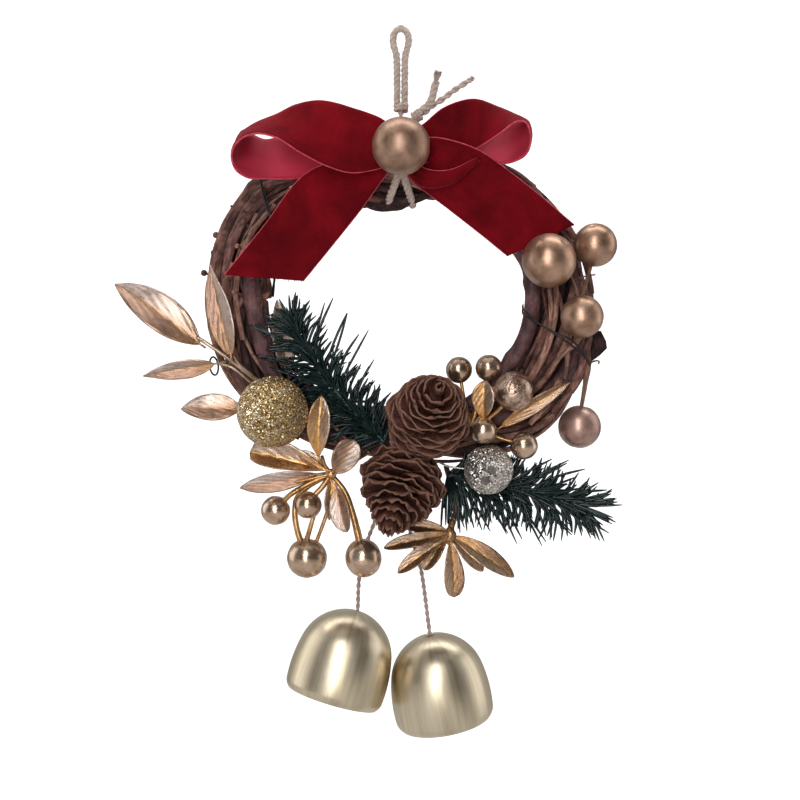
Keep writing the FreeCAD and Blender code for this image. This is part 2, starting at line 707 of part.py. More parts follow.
# ---------------------------------------------------------------- low leaf cluster
leaf_group("low_leaf", "low_cluster_leaves", [
    ((16.13, -8.5, -87.97), (-7.14, -9.5, -92.4), (0, -1, 0.3)),
    ((16.17, -7.2, -88.82), (-1.89, -9, -101.44), (-0.2, -1, 0.2)),
    ((16.19, -6, -87.02), (1.12, -5.5, -85.55), (0, -1, 0.4)),
    ((17.24, -9.2, -89.42), (19.09, -10, -110.35), (0.35, -1, 0)),
    ((18.77, -8.2, -88.74), (41.29, -8.6, -102.98), (0.2, -1, 0.3)),
    ((18.44, -6.6, -89.61), (31.27, -6, -107.74), (0.3, -1, 0.1))])
keep(rod("low_stem", path([(16.15, -8, -62.45), (17.3, -7, -74.53), (17.27, -8, -86.13)]),
         "hook_stem_radius"), "low_cluster_stem")

# ---------------------------------------------------------------- evergreen sprigs
LEFT_SPRIG = [
    (-7.11, -13, -51.83), (-19.8, -12.9, -39.89), (-31.01, -12.6, -25.7),
    (-40.29, -13.6, -10.8), (-43.99, -14, -1.5),
]
RIGHT_SPRIG = [(18.62, 0, -65.78), (38.76, 0, -69.58), (59.66, 0, -73.38), (74.86, 0, -76.04)]
# needle tip, share of the stem's parameter range at its root
LEFT_NEEDLES = [
    ((-57.87, -17.4, -8.72), 0.86), ((-56.02, -17.4, -19.84), 0.72),
    ((-49.76, -16.8, -25.02), 0.66), ((-26.09, -14.5, 1.08), 0.80),
    ((-20.89, -14, -4.48), 0.72), ((-16.43, -13.5, -12.29), 0.60),
    ((-12.7, -13.5, -24.22), 0.42), ((-8.6, -13.5, -30.93), 0.3),
    ((-52.41, -16, -0.86), 0.92), ((-36.89, -14.5, 9.27), 0.93),
    ((-30.18, -14.5, 6.29), 0.88), ((-44.67, -15, 7.01), 0.98),
]
RIGHT_NEEDLES = [
    ((56.54, -1, -59.29), 0.45), ((62.23, -1, -60.43), 0.6), ((69.16, 0, -62.74), 0.7),
    ((77.52, 0, -70.34), 0.9), ((80.94, 0, -76.8), 0.98), ((79.42, 0, -84.02), 0.85),
    ((72.1, -1, -86.99), 0.75), ((64.22, 0, -88.2), 0.6), ((54.42, 1, -90.93), 0.45),
    ((45.22, 0, -89.72), 0.3), ((39.96, 1, -87.51), 0.2), ((30.06, 1, -85.61), 0.08),
]


def sprig(name, stem, needles):
    """A stem with tapered needles rooted on its centreline."""
    points = path(stem)
    curve = spline(points)
    first, last = curve.FirstParameter, curve.LastParameter
    members = [rod(name + "_stem", points, "sprig_stem_radius")]
    for n, (tip, share) in enumerate(needles):
        root = curve.value(first + (last - first) * share)
        reach = at(*tip) - root
        needle = doc.addObject("Part::Cone", "%s_needle_%d" % (name, n))
        needle.setExpression("Radius1", "Dims.needle_root_radius")
        needle.setExpression("Radius2", "Dims.needle_tip_radius")
        needle.Height = reach.Length
        needle.Placement = aimed(root, reach)
        members.append(needle)
    return fuse(name, members)


keep(sprig("sprig_left", LEFT_SPRIG, LEFT_NEEDLES), "pine_sprig_left")
keep(sprig("sprig_right", RIGHT_SPRIG, RIGHT_NEEDLES), "pine_sprig_right")

# ---------------------------------------------------------------- cones
# tier radius as a share of the cone radius, tier height as a share of its length
TIERS = [(0.30, 0.02), (0.62, 0.12), (0.80, 0.25), (0.92, 0.39),
         (0.93, 0.53), (0.84, 0.67), (0.66, 0.80), (0.42, 0.92)]
# one scale's corners: share of the tier radius, rise as a share of the cone length
SCALE_CORNERS = [(0.62, 0.012), (1.07, 0.055), (1.04, 0.080), (0.50, 0.062)]


def open_cone(name, middle, axis):
    """A cone as tiers of open scales round a spindle, along its own Z axis."""
    corners = [(ZERO, ZERO)]
    for tier_radius, tier_height in TIERS:
        for share, rise in SCALE_CORNERS:
            corners.append((size(cone_radius=tier_radius * share),
                            size(cone_length=tier_height + rise)))
    corners.append((ZERO, size(cone_length=1.0)))
    axis = Vector(*axis).normalize()
    base = middle - axis * (dim("cone_length") / 2)
    return revolved(name, polygon(corners), aimed(base, axis))


keep(open_cone("cone_up", at(8.7, -29.6, -43.46), (0.21, -0.82, 0.53)), "cone_upper")
keep(open_cone("cone_low", at(-1.51, -21.6, -71.18), (-0.24, -0.56, -0.79)), "cone_lower")

# ---------------------------------------------------------------- bells
BELL_Y = 8.4             # the bells hang behind the ring's middle plane
TIE_X = -4.2
KNOT_DROP = 14.5         # cord knot below the centreline
CORD_START = 4.0         # cord start from the knot centre
PIVOT_GAP = 0.15
STOP_KNOT_GAP = 0.75
EYE_GAP = 0.2
LINK_LENGTH = 10.2
CLAPPER_NECK = 2.6
CLAPPER_GAP = 0.25
LEFT_LEAN = math.radians(16.5)
DOWN = Vector(0, 0, -1)

bottom_middle = frame_towards(TIE_X, -49)[0]
tie_point = Vector(at(TIE_X, 0, 0).x, 0, bottom_middle.z)
cord_knot = tie_point + Vector(0, BELL_Y, -KNOT_DROP)
keep(torus("bottom_wrap", "bottom_wrap_radius", "bell_cord_radius",
           tie_point, Vector(1, 0, 0)), "bell_cord_wrap")
keep(ball("cord_knot", "cord_knot_radius", cord_knot), "bell_cord_knot")


def bell_shell(name, apex, axis):
    """A thin bell: rim plane at z = 0, crown hole at the top."""
    hole = size(crown_hole_radius=1)
    rim_z = size(0.001)
    bulge_z = size(bell_height=0.16)
    crown_arc = size(bell_radius=0.97)
    inner_crown_arc = size(bell_radius=0.97, bell_wall=-1)
    side_arc = size(bell_radius=2.0)
    lip_arc = size(bell_radius=0.30)
    # Down the outside from the hole to the rim, then back up the inside
    loop = [
        (hole, size(bell_height=0.995), ("arc", crown_arc, 1)),
        (size(bell_radius=0.925), size(bell_height=0.60), ("arc", side_arc, 1)),
        (size(bell_radius=1.0), bulge_z, ("arc", lip_arc, 1)),
        (size(bell_radius=0.955), rim_z, None),
        (size(bell_radius=0.955, bell_wall=-1), rim_z, ("arc", lip_arc, -1)),
        (size(bell_radius=1.0, bell_wall=-1), bulge_z, ("arc", side_arc, -1)),
        (size(bell_radius=0.925, bell_wall=-0.95), size(bell_height=0.60, bell_wall=-0.3),
         ("arc", inner_crown_arc, -1)),
        (hole, size(bell_height=0.995, bell_wall=-1), None),
    ]
    rotation = turned(Vector(1, 0, 0) - axis * axis.x, axis)
    return revolved(name, loop, Placement(apex - axis * dim("bell_height"), rotation))


def bell_set(side, apex, axis, cord_points):
    """A bell with its cord, the stop knot under its crown and its clapper."""
    axis = Vector(*axis).normalize()
    keep(bell_shell(side + "_shell", apex, axis), side + "_bell_shell")

    pivot = apex - axis * (dim("bell_wall") / 2 + PIVOT_GAP)
    back = (cord_points[-1] - pivot).normalize()
    cord = cord_points + [pivot + back * 3.0, pivot + back * 0.3]
    keep(rod(side + "_cord", cord, "bell_cord_radius"), side + "_bell_cord")

    stop_knot = pivot - axis * (dim("stop_knot_radius") + STOP_KNOT_GAP)
    keep(fuse(side + "_stop", [
        ball(side + "_stop_ball", "stop_knot_radius", stop_knot),
        peg(side + "_stop_neck", "bell_cord_radius", stop_knot, pivot - axis * 0.3)]),
        side + "_stop_knot")

    # The clapper hangs plumb below the stop knot on a wire link.
    eye = stop_knot + DOWN * (dim("stop_knot_radius") + dim("clapper_eye_radius") + EYE_GAP)
    link_end = eye + DOWN * LINK_LENGTH
    keep(fuse(side + "_link", [
        ball(side + "_link_eye", "clapper_eye_radius", eye),
        peg(side + "_link_wire", "clapper_wire_radius", eye, link_end)]),
        side + "_clapper_link")
    clapper = link_end + DOWN * (dim("clapper_radius") + CLAPPER_NECK)
    keep(fuse(side + "_clap", [
        ball(side + "_clap_ball", "clapper_radius", clapper),
        peg(side + "_clap_neck", "clapper_neck_radius", clapper,
            link_end + DOWN * CLAPPER_GAP)]), side + "_clapper")


def cord_from_knot(towards, straight, points):
    """Cord points: a straight run from the knot towards a point, then the rest."""
    direction = (towards - cord_knot).normalize()
    return [cord_knot + direction * CORD_START, cord_knot + direction * straight] + points


right_bend = at(6.86, BELL_Y, -101.87)
bell_set("left", at(-17.29, BELL_Y, -117.75), (math.sin(LEFT_LEAN), 0, math.cos(LEFT_LEAN)),
         cord_from_knot(at(-15.75, BELL_Y, -98.41), 20.0, path([
             (-14.6, BELL_Y, -93.8), (-16.82, BELL_Y, -104.94)])))
bell_set("right", at(10.32, BELL_Y, -127.05), (-0.18, -0.174, 0.968),
         cord_from_knot(right_bend, 30.0, [right_bend]))

# ---------------------------------------------------------------- check and write
doc.recompute()
unsound = [obj.Label for obj in doc.Objects
           if any(state in ("Invalid", "Error") for state in obj.State)]
for obj in pieces:
    if obj.Shape.isNull() or not obj.Shape.isValid() or obj.Shape.Volume <= 0:
        unsound.append(obj.Label)
if unsound:
    raise SystemExit("not sound: " + ", ".join(unsound))
for obj in pieces:
    obj.Shape.exportStep("parts/%s.step" % obj.Label)
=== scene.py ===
"""A hanging Christmas wreath: a vine ring with a velvet bow, berries, leaves, cones and two bells.

The ring stands upright in the XZ plane, +Z up, and its front faces -Y. The eye of the
hanging loop is near the origin, and everything else hangs below it. Shapes are worked out
in millimetres and scaled to metres as each mesh is made.
"""

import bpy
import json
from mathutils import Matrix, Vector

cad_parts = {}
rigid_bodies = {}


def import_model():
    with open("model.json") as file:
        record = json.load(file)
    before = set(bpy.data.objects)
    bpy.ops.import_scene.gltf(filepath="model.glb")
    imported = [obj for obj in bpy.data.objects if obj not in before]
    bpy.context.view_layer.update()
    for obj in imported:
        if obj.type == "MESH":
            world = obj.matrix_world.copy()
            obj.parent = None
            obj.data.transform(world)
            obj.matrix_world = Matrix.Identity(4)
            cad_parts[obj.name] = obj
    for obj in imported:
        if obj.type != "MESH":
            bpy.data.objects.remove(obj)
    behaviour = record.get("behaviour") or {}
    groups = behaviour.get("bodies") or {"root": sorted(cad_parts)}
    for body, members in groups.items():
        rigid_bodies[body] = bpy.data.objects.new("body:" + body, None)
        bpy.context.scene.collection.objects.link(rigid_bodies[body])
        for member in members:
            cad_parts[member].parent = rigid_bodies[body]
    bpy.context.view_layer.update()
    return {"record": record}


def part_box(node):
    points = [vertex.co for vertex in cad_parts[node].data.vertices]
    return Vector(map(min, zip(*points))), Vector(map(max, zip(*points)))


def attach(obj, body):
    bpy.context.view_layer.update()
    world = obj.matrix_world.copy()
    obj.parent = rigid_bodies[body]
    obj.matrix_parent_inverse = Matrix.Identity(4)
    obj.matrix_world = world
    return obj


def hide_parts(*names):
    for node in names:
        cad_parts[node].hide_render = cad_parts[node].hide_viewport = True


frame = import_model()
import json
import random
from math import acos, asin, atan2, cos, degrees, exp, hypot, pi, radians, sin, sqrt, tau

import bmesh
import bpy
from mathutils import Vector, noise

MM = 0.001
UP_Y = Vector((0, 1, 0))  # Points to the back of the wreath.


def node_box(node):
    """Centre and half size of a CAD node, mm."""
    low, high = (Vector(corner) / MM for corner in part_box(node))
    return (low + high) * 0.5, (high - low) * 0.5


# ------------------------------------------------------------------ shader helpers
class Shader:
    """A node tree with short ways to add nodes."""

    def __init__(self, tree):
        self.tree = tree
        tree.nodes.clear()

    def put(self, socket, value):
        """Link a socket, or set a number, vector or RGB colour."""
        if isinstance(value, bpy.types.NodeSocket):
            self.tree.links.new(value, socket)
        else:
            socket.default_value = (*value, 1.0) if socket.type == "RGBA" else value

    def node(self, kind, inputs=None, **settings):
        node = self.tree.nodes.new("ShaderNode" + kind)
        for key, value in settings.items():
            setattr(node, key, value)
        for key, value in (inputs or {}).items():
            self.put(node.inputs[key], value)
        return node

    def noise(self, vector, scale, detail=3.0, rough=0.55, distortion=0.0):
        return self.node("TexNoise", {"Vector": vector, "Scale": scale, "Detail": detail,
                                      "Roughness": rough, "Distortion": distortion}).outputs[0]

    def wave(self, vector, direction, scale, distortion):
        return self.node("TexWave", {"Vector": vector, "Scale": scale, "Distortion": distortion},
                         wave_type="BANDS", bands_direction=direction).outputs[1]

    def ramp(self, factor, stops):
        node = self.node("ValToRGB", {0: factor})
        elements = node.color_ramp.elements
        while len(elements) > 1:
            elements.remove(elements[-1])
        elements[0].position = stops[0][0]
        elements[0].color = (*stops[0][1], 1)
        for position, colour in stops[1:]:
            elements.new(position).color = (*colour, 1)
        return node.outputs[0]

    def mix(self, factor, first, second, blend="MIX"):
        return self.node("Mix", {0: factor, 6: first, 7: second},
                         data_type="RGBA", blend_type=blend).outputs[2]

    def calc(self, operation, *values):
        return self.node("Math", dict(enumerate(values)), operation=operation).outputs[0]

    def weighted(self, first, *rest):
        """Sum of (socket, weight) pairs."""
        product = self.calc("MULTIPLY", *first)
        return self.calc("ADD", product, self.weighted(*rest)) if rest else product

    def remap(self, value, source, target):
        inputs = dict(enumerate((value, *source, *target)))
        return self.node("MapRange", inputs).outputs[0]


class Material(Shader):
    """A material with one Principled surface."""

    def __init__(self, name):
        self.material = bpy.data.materials.new(name)
        self.material.use_nodes = True
        super().__init__(self.material.node_tree)
        self.surface = self.node("BsdfPrincipled")
        self.node("OutputMaterial", {0: self.surface.outputs[0]})
        self.coord = self.node("TexCoord")

    def set(self, **inputs):
        for key, value in inputs.items():
            self.put(self.surface.inputs[key.replace("_", " ")], value)

    def coords(self, space="Object", scale=(1, 1, 1)):
        vector = self.coord.outputs[space]
        return self.node("Mapping", {"Scale": scale, "Vector": vector}).outputs[0]

    def bump(self, height, strength, distance, under=None):
        inputs = {"Strength": strength, "Distance": distance, "Height": height}
        if under is not None:
            inputs["Normal"] = under
        normal = self.node("Bump", inputs).outputs[0]
        self.set(Normal=normal)
        return normal


# ------------------------------------------------------------------ materials
def bark(name, dark, middle, light, rough=0.78, streak=1.0, gloss=0.25):
    """Streaks along the cane. UV x is round the cane, y its length in cm."""
    mat = Material(name)
    long = mat.coords("UV", (5.0, 1.1, 1))
    fine = mat.coords("UV", (22.0, 2.6, 1))
    streaks = mat.noise(long, scale=1.6, detail=5, rough=0.6, distortion=0.4)
    pores = mat.noise(fine, scale=1.7, detail=6, rough=0.65, distortion=0.2)
    scuffs = mat.noise(mat.coords(), scale=160, detail=4, rough=0.6)
    grain = mat.weighted((streaks, 0.55), (pores, 0.45))
    colour = mat.ramp(grain, [(0.30, dark), (0.47, middle), (0.60, light), (0.72, middle)])
    patch = mat.ramp(scuffs, [(0.38, (0.45, 0.42, 0.42)), (0.62, (1.15, 1.1, 1.08))])
    mat.set(Base_Color=mat.mix(1.0, colour, patch, "MULTIPLY"), Specular_IOR_Level=gloss,
            Roughness=mat.remap(pores, (0.3, 0.7), (rough - 0.18, min(1, rough + 0.15))))
    under = mat.bump(grain, strength=0.9 * streak, distance=0.0006)
    ridges = mat.noise(fine, scale=4.0, detail=5, rough=0.7)
    mat.bump(ridges, strength=0.5 * streak, distance=0.0002, under=under)
    return mat.material


def fibre(name, dark, light):
    mat = Material(name)
    strands = mat.noise(mat.coords("UV", (9.0, 5.0, 1)), scale=2.2, detail=5, rough=0.7,
                        distortion=0.3)
    fuzz = mat.noise(mat.coords(), scale=700, detail=4, rough=0.7)
    both = mat.weighted((strands, 0.6), (fuzz, 0.4))
    mat.set(Base_Color=mat.ramp(both, [(0.33, dark), (0.66, light)]), Roughness=0.95,
            Specular_IOR_Level=0.15, Sheen_Weight=0.35, Sheen_Roughness=0.5,
            Sheen_Tint=(1, 0.93, 0.88))
    mat.bump(both, strength=1.0, distance=0.0003)
    return mat.material


def velvet(name):
    mat = Material(name)
    space = mat.coords()
    patch = mat.noise(space, scale=55, detail=4, rough=0.55, distortion=0.6)
    fine = mat.noise(space, scale=1500, detail=3, rough=0.7)
    nap = mat.noise(mat.coords("UV", (1.2, 6.0, 1)), scale=6, detail=4, rough=0.6,
                    distortion=0.4)
    pile = mat.weighted((patch, 0.62), (nap, 0.22), (fine, 0.16))
    mat.set(Base_Color=mat.ramp(pile, [(0.34, (0.062, 0.0014, 0.0032)),
                                       (0.48, (0.122, 0.0020, 0.0052)),
                                       (0.64, (0.215, 0.0034, 0.0090))]),
            Roughness=0.92, Specular_IOR_Level=0.08, Sheen_Weight=0.30, Sheen_Roughness=0.30,
            Sheen_Tint=(1.0, 0.22, 0.28))
    under = mat.bump(fine, strength=0.7, distance=0.00025)
    mat.bump(patch, strength=0.35, distance=0.0012, under=under)
    return mat.material


def satin(name):
    mat = Material(name)
    cloth = mat.coords("UV")
    warp = mat.wave(cloth, "X", scale=22.0, distortion=0.6)
    weft = mat.wave(cloth, "Y", scale=9.0, distortion=0.8)
    weave = mat.weighted((warp, 0.6), (weft, 0.4))
    broad = mat.noise(mat.coords(), scale=60, detail=3, rough=0.5)
    colour = mat.ramp(broad, [(0.35, (0.36, 0.008, 0.030)), (0.65, (0.54, 0.018, 0.056))])
    threads = mat.ramp(weave, [(0.2, (0.26, 0.008, 0.025)), (0.8, (0.66, 0.07, 0.12))])
    mat.set(Base_Color=mat.mix(0.22, colour, threads), Roughness=0.50,
            Specular_IOR_Level=0.22, Anisotropic=0.5, Sheen_Weight=0.0,
            Sheen_Tint=(1, 0.6, 0.7))
    mat.bump(weave, strength=0.35, distance=0.00012)
    return mat.material


def selvage(name):
    mat = Material(name)
    fuzz = mat.noise(mat.coords(), scale=900, detail=4, rough=0.7)
    mat.set(Base_Color=mat.ramp(fuzz, [(0.35, (0.36, 0.012, 0.03)),
                                       (0.65, (0.66, 0.055, 0.10))]),
            Roughness=0.7, Sheen_Weight=0.3, Specular_IOR_Level=0.3)
    mat.bump(fuzz, strength=0.8, distance=0.0002)
    return mat.material


def metal(name, *colours, at=(0.34, 0.55, 0.75), rough, scale, bump, metallic,
          coat=0.0, fine=2400, depth=0.00015):
    """Mottled metal: the colours sit at the ramp positions `at`; scale and fine are noises."""
    mat = Material(name)
    mottle = mat.noise(mat.coords(), scale=scale, detail=5, rough=0.6, distortion=0.3)
    grain = mat.noise(mat.coords(), scale=fine, detail=3, rough=0.6)
    mat.set(Base_Color=mat.ramp(mottle, list(zip(at, colours))),
            Roughness=mat.remap(mottle, (0.3, 0.7), rough),
            Metallic=metallic, Coat_Weight=coat, Coat_Roughness=0.15)
    under = mat.bump(mottle, strength=bump, distance=depth * 3)
    mat.bump(grain, strength=bump * 1.4, distance=depth, under=under)
    return mat.material


def leaf_coat(name, pale, deep, gold, rough):
    """Coated leaf: UV x across (midrib at 0.5), y from base to tip. The pale colour is a painted
    highlight on one half of the leaf and the deep colour is painted shade on the other half.
    """
    mat = Material(name)
    leaf_uv = mat.coord.outputs["UV"]
    across, along = mat.node("SeparateXYZ", {0: leaf_uv}).outputs[:2]
    veins = mat.wave(leaf_uv, "DIAGONAL", scale=3.2, distortion=1.2)
    mottle = mat.noise(mat.coords(), scale=420, detail=5, rough=0.65)
    fine = mat.noise(mat.coords("UV", (16, 2.0, 1)), scale=3.0, detail=4, rough=0.6,
                     distortion=0.3)
    # Painted highlight (pale) on one half of the leaf and painted shade (deep) on the other, split
    # at the midrib.
    colour = mat.mix(mat.remap(across, (0.40, 0.60), (0, 1)), pale, deep)
    from_rib = mat.calc("ABSOLUTE", mat.calc("SUBTRACT", across, 0.5))
    rib = mat.remap(from_rib, (0.02, 0.16), (1, 0))
    colour = mat.mix(mat.calc("MULTIPLY", rib, 0.55), colour, gold)
    root = mat.remap(along, (0.0, 0.42), (1, 0))
    colour = mat.mix(mat.calc("MULTIPLY", root, 0.75), colour, gold)
    shade = mat.ramp(mat.weighted((mottle, 0.5), (fine, 0.5)),
                     [(0.35, (0.62, 0.58, 0.55)), (0.62, (1.12, 1.1, 1.08))])
    mat.set(Base_Color=mat.mix(1.0, colour, shade, "MULTIPLY"),
            Roughness=mat.remap(mottle, (0.3, 0.7), (rough - 0.08, rough + 0.14)),
            Metallic=0.72, Specular_IOR_Level=0.5)
    under = mat.bump(veins, strength=0.18, distance=0.0004)
    mat.bump(fine, strength=0.4, distance=0.00018, under=under)
    return mat.material


def glitter(name, *colours):
    """Small flakes, each with its own colour, roughness and tilt."""
    mat = Material(name)
    space = mat.coords()
    flakes = mat.node("TexVoronoi", {"Scale": 1900, "Vector": space}).outputs["Color"]
    channels = mat.node("SeparateColor", {0: flakes}).outputs
    broad = mat.noise(space, scale=90, detail=3, rough=0.5)
    tone = mat.weighted((channels[0], 0.8), (broad, 0.2))
    centred = mat.node("VectorMath", {0: flakes, 1: (0.5, 0.5, 0.5)}, operation="SUBTRACT")
    tilt = mat.node("VectorMath", {0: centred.outputs[0], "Scale": 1.25}, operation="SCALE")
    normal = mat.node("NewGeometry").outputs["Normal"]
    tilted = mat.node("VectorMath", {0: normal, 1: tilt.outputs[0]}, operation="ADD")
    unit = mat.node("VectorMath", {0: tilted.outputs[0]}, operation="NORMALIZE")
    mat.set(Base_Color=mat.ramp(tone, list(zip((0.12, 0.42, 0.68, 0.92), colours))),
            Roughness=mat.remap(channels[1], (0, 1), (0.22 * 0.6, 0.22 * 2.2)),
            Metallic=0.95, Normal=unit.outputs[0])
    return mat.material


def brushed(name):
    """Pale brass drawn down the bell: UV x round the bell, y along its outline."""
    mat = Material(name)
    streaks = mat.noise(mat.coords("UV", (260, 1.6, 1)), scale=1.0, detail=5, rough=0.65,
                        distortion=0.1)
    wide = mat.noise(mat.coords("UV", (26, 1.2, 1)), scale=1.0, detail=4, rough=0.6,
                     distortion=0.6)
    grain = mat.noise(mat.coords(), scale=1300, detail=3, rough=0.7)
    colour = mat.ramp(wide, [(0.30, (0.51, 0.42, 0.275)), (0.50, (0.66, 0.555, 0.39)),
                             (0.70, (0.77, 0.665, 0.50))])
    lines = mat.ramp(streaks, [(0.35, (0.40, 0.34, 0.235)), (0.65, (0.80, 0.73, 0.60))])
    mat.set(Base_Color=mat.mix(0.22, colour, lines),
            Roughness=mat.remap(mat.weighted((streaks, 0.5), (grain, 0.5)),
                                (0.3, 0.7), (0.27, 0.42)),
            Metallic=1.0, Anisotropic=0.35)
    under = mat.bump(streaks, strength=0.10, distance=0.00010)
    mat.bump(grain, strength=0.16, distance=0.00008, under=under)
    return mat.material


def cone_scale(name):
    """Dark fibrous scale with a pale rim where UV y reaches 1; the rim is partly the scale's own
    lighter edge and partly a painted highlight.
    """
    mat = Material(name)
    along = mat.node("SeparateXYZ", {0: mat.coord.outputs["UV"]}).outputs[1]
    fibres = mat.noise(mat.coords("UV", (9, 2.2, 1)), scale=2.0, detail=5, rough=0.65,
                       distortion=0.3)
    mottle = mat.noise(mat.coords(), scale=330, detail=4, rough=0.6)
    body = mat.ramp(mat.weighted((fibres, 0.6), (mottle, 0.4)),
                    [(0.34, (0.022, 0.008, 0.006)), (0.50, (0.086, 0.029, 0.019)),
                     (0.66, (0.155, 0.057, 0.037))])
    # Pale rim: partly the scale's own lighter edge, partly a painted highlight along the scale
    # edges.
    ragged = mat.calc("MULTIPLY", mat.calc("SUBTRACT", mottle, 0.5), 0.16)
    rim = mat.remap(mat.calc("ADD", along, ragged), (0.90, 1.02), (0, 1))
    mat.set(Base_Color=mat.mix(mat.calc("MULTIPLY", rim, 0.80), body, (0.27, 0.138, 0.092)),
            Roughness=0.72, Specular_IOR_Level=0.3)
    mat.bump(fibres, strength=0.7, distance=0.0003)
    return mat.material


MATERIALS = {
    "bark_a": bark("bark_tan", (0.050, 0.021, 0.018), (0.255, 0.124, 0.090), (0.52, 0.32, 0.245)),
    "bark_b": bark("bark_brown", (0.026, 0.011, 0.011), (0.150, 0.066, 0.055),
                   (0.33, 0.185, 0.145)),
    "bark_c": bark("bark_plum", (0.028, 0.009, 0.012), (0.090, 0.033, 0.036),
                   (0.180, 0.084, 0.084), rough=0.6, streak=0.6, gloss=0.4),
    "bark_d": bark("bark_dark", (0.008, 0.004, 0.005), (0.036, 0.018, 0.017),
                   (0.105, 0.057, 0.050)),
    "jute": fibre("jute", (0.30, 0.22, 0.175), (0.78, 0.66, 0.58)),
    "cord": fibre("mauve_cord", (0.26, 0.17, 0.15), (0.58, 0.45, 0.41)),
    "velvet": velvet("velvet_red"),
    "satin": satin("satin_back"),
    "selvage": selvage("selvage_edge"),
    "bead": metal("matte_gold", (0.25, 0.140, 0.090), (0.37, 0.225, 0.155), (0.46, 0.305, 0.22),
                  rough=(0.36, 0.46), scale=140, bump=0.10, metallic=0.70, coat=0.10),
    "berry": metal("berry_gold", (0.30, 0.165, 0.105), (0.45, 0.275, 0.185), (0.57, 0.38, 0.275),
                   rough=(0.30, 0.42), scale=160, bump=0.08, metallic=0.82, coat=0.10),
    "berry_rose": metal("berry_rose", (0.30, 0.165, 0.130), (0.44, 0.275, 0.225),
                        (0.54, 0.37, 0.315),
                        rough=(0.28, 0.40), scale=160, bump=0.08, metallic=0.68, coat=0.20),
    "shiny": metal("polished_berry", (0.40, 0.245, 0.150), (0.58, 0.41, 0.29), (0.74, 0.58, 0.46),
                   rough=(0.14, 0.26), scale=150, bump=0.22, metallic=0.90, coat=0.5),
    "cracked": metal("cracked_berry", (0.24, 0.135, 0.09), (0.50, 0.345, 0.255),
                     (0.68, 0.53, 0.43), at=(0.40, 0.50, 0.70), rough=(0.14, 0.30), scale=260,
                     bump=0.55, metallic=0.88, coat=0.4, fine=700, depth=0.0004),
    # Leaf colours: pale is the painted highlight half, deep is the painted shade half, and gold is
    # the leaf's own gold.
    "leaf_rose": leaf_coat("leaf_rose", (0.60, 0.48, 0.42), (0.36, 0.225, 0.165),
                           gold=(0.50, 0.27, 0.125), rough=0.31),
    "leaf_gold": leaf_coat("leaf_gold", (0.58, 0.44, 0.34), (0.55, 0.32, 0.155),
                           gold=(0.88, 0.45, 0.10), rough=0.23),
    "leaf_bronze": leaf_coat("leaf_bronze", (0.46, 0.32, 0.225), (0.26, 0.150, 0.085),
                             gold=(0.56, 0.30, 0.10), rough=0.25),
    "leaf_pale": leaf_coat("leaf_pale", (0.58, 0.46, 0.38), (0.46, 0.34, 0.27),
                           gold=(0.42, 0.30, 0.22), rough=0.42),
    "needle": metal("needle_green", (0.0022, 0.0075, 0.0080), (0.0045, 0.0165, 0.0160),
                    (0.012, 0.038, 0.034), at=(0.30, 0.52, 0.75),
                    rough=(0.20, 0.36), scale=260, bump=0.3, metallic=0.0),
    "scale": cone_scale("cone_scale"),
    "glit_gold": glitter("glitter_gold", (0.16, 0.085, 0.026), (0.42, 0.265, 0.100),
                         (0.64, 0.47, 0.235), (1.0, 0.95, 0.84)),
    "glit_silver": glitter("glitter_champagne", (0.16, 0.13, 0.11), (0.48, 0.42, 0.37),
                           (0.72, 0.67, 0.61), (1.0, 0.99, 0.97)),
    "spot": metal("bare_spot", (0.10, 0.085, 0.08), (0.22, 0.19, 0.18), at=(0.35, 0.7),
                  rough=(0.3, 0.5), scale=300, bump=0.3, metallic=0.7),
    "stem_pale": metal("pale_gold_stem", (0.30, 0.20, 0.13), (0.50, 0.37, 0.27),
                       (0.72, 0.60, 0.50), rough=(0.24, 0.40), scale=240, bump=0.3, metallic=0.8),
    "bell": brushed("brushed_champagne"),
    "wire": metal("black_wire", (0.010, 0.009, 0.010), (0.030, 0.027, 0.028),
                  (0.06, 0.055, 0.055), at=(0.35, 0.6, 0.8),
                  rough=(0.30, 0.5), scale=600, bump=0.25, metallic=0.55),
    "stem": bark("wrapped_stem", (0.07, 0.033, 0.022), (0.19, 0.10, 0.066), (0.33, 0.20, 0.14),
                 rough=0.62, streak=0.5),
    "stem_gold": metal("gold_stem", (0.36, 0.18, 0.060), (0.60, 0.34, 0.140), (0.74, 0.52, 0.32),
                       rough=(0.22, 0.40), scale=240, bump=0.3, metallic=0.8),
    "silver_wire": metal("bright_wire", (0.35, 0.31, 0.28), (0.66, 0.62, 0.58), at=(0.34, 0.7),
                         rough=(0.2, 0.36), scale=500, bump=0.2, metallic=0.95),
    "clapper": metal("cast_clapper", (0.34, 0.25, 0.12), (0.52, 0.42, 0.25), (0.62, 0.52, 0.34),
                     at=(0.34, 0.6, 0.8), rough=(0.25, 0.45), scale=420, bump=0.35,
                     metallic=0.95),
}
BARKS = ["bark_a", "bark_b", "bark_c", "bark_d"]
TAN, BROWN, PLUM, DARK = range(4)
RIBBON = ["velvet", "satin", "selvage"]


# ------------------------------------------------------------------ mesh building
def place(name, mesh, node, body="wreath", replaces=True):
    """Put a mesh in the scene, riding on a body and standing in for a CAD node."""
    thing = bpy.data.objects.new(name, mesh)
    bpy.context.scene.collection.objects.link(thing)
    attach(thing, body)
    if replaces:
        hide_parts(node)


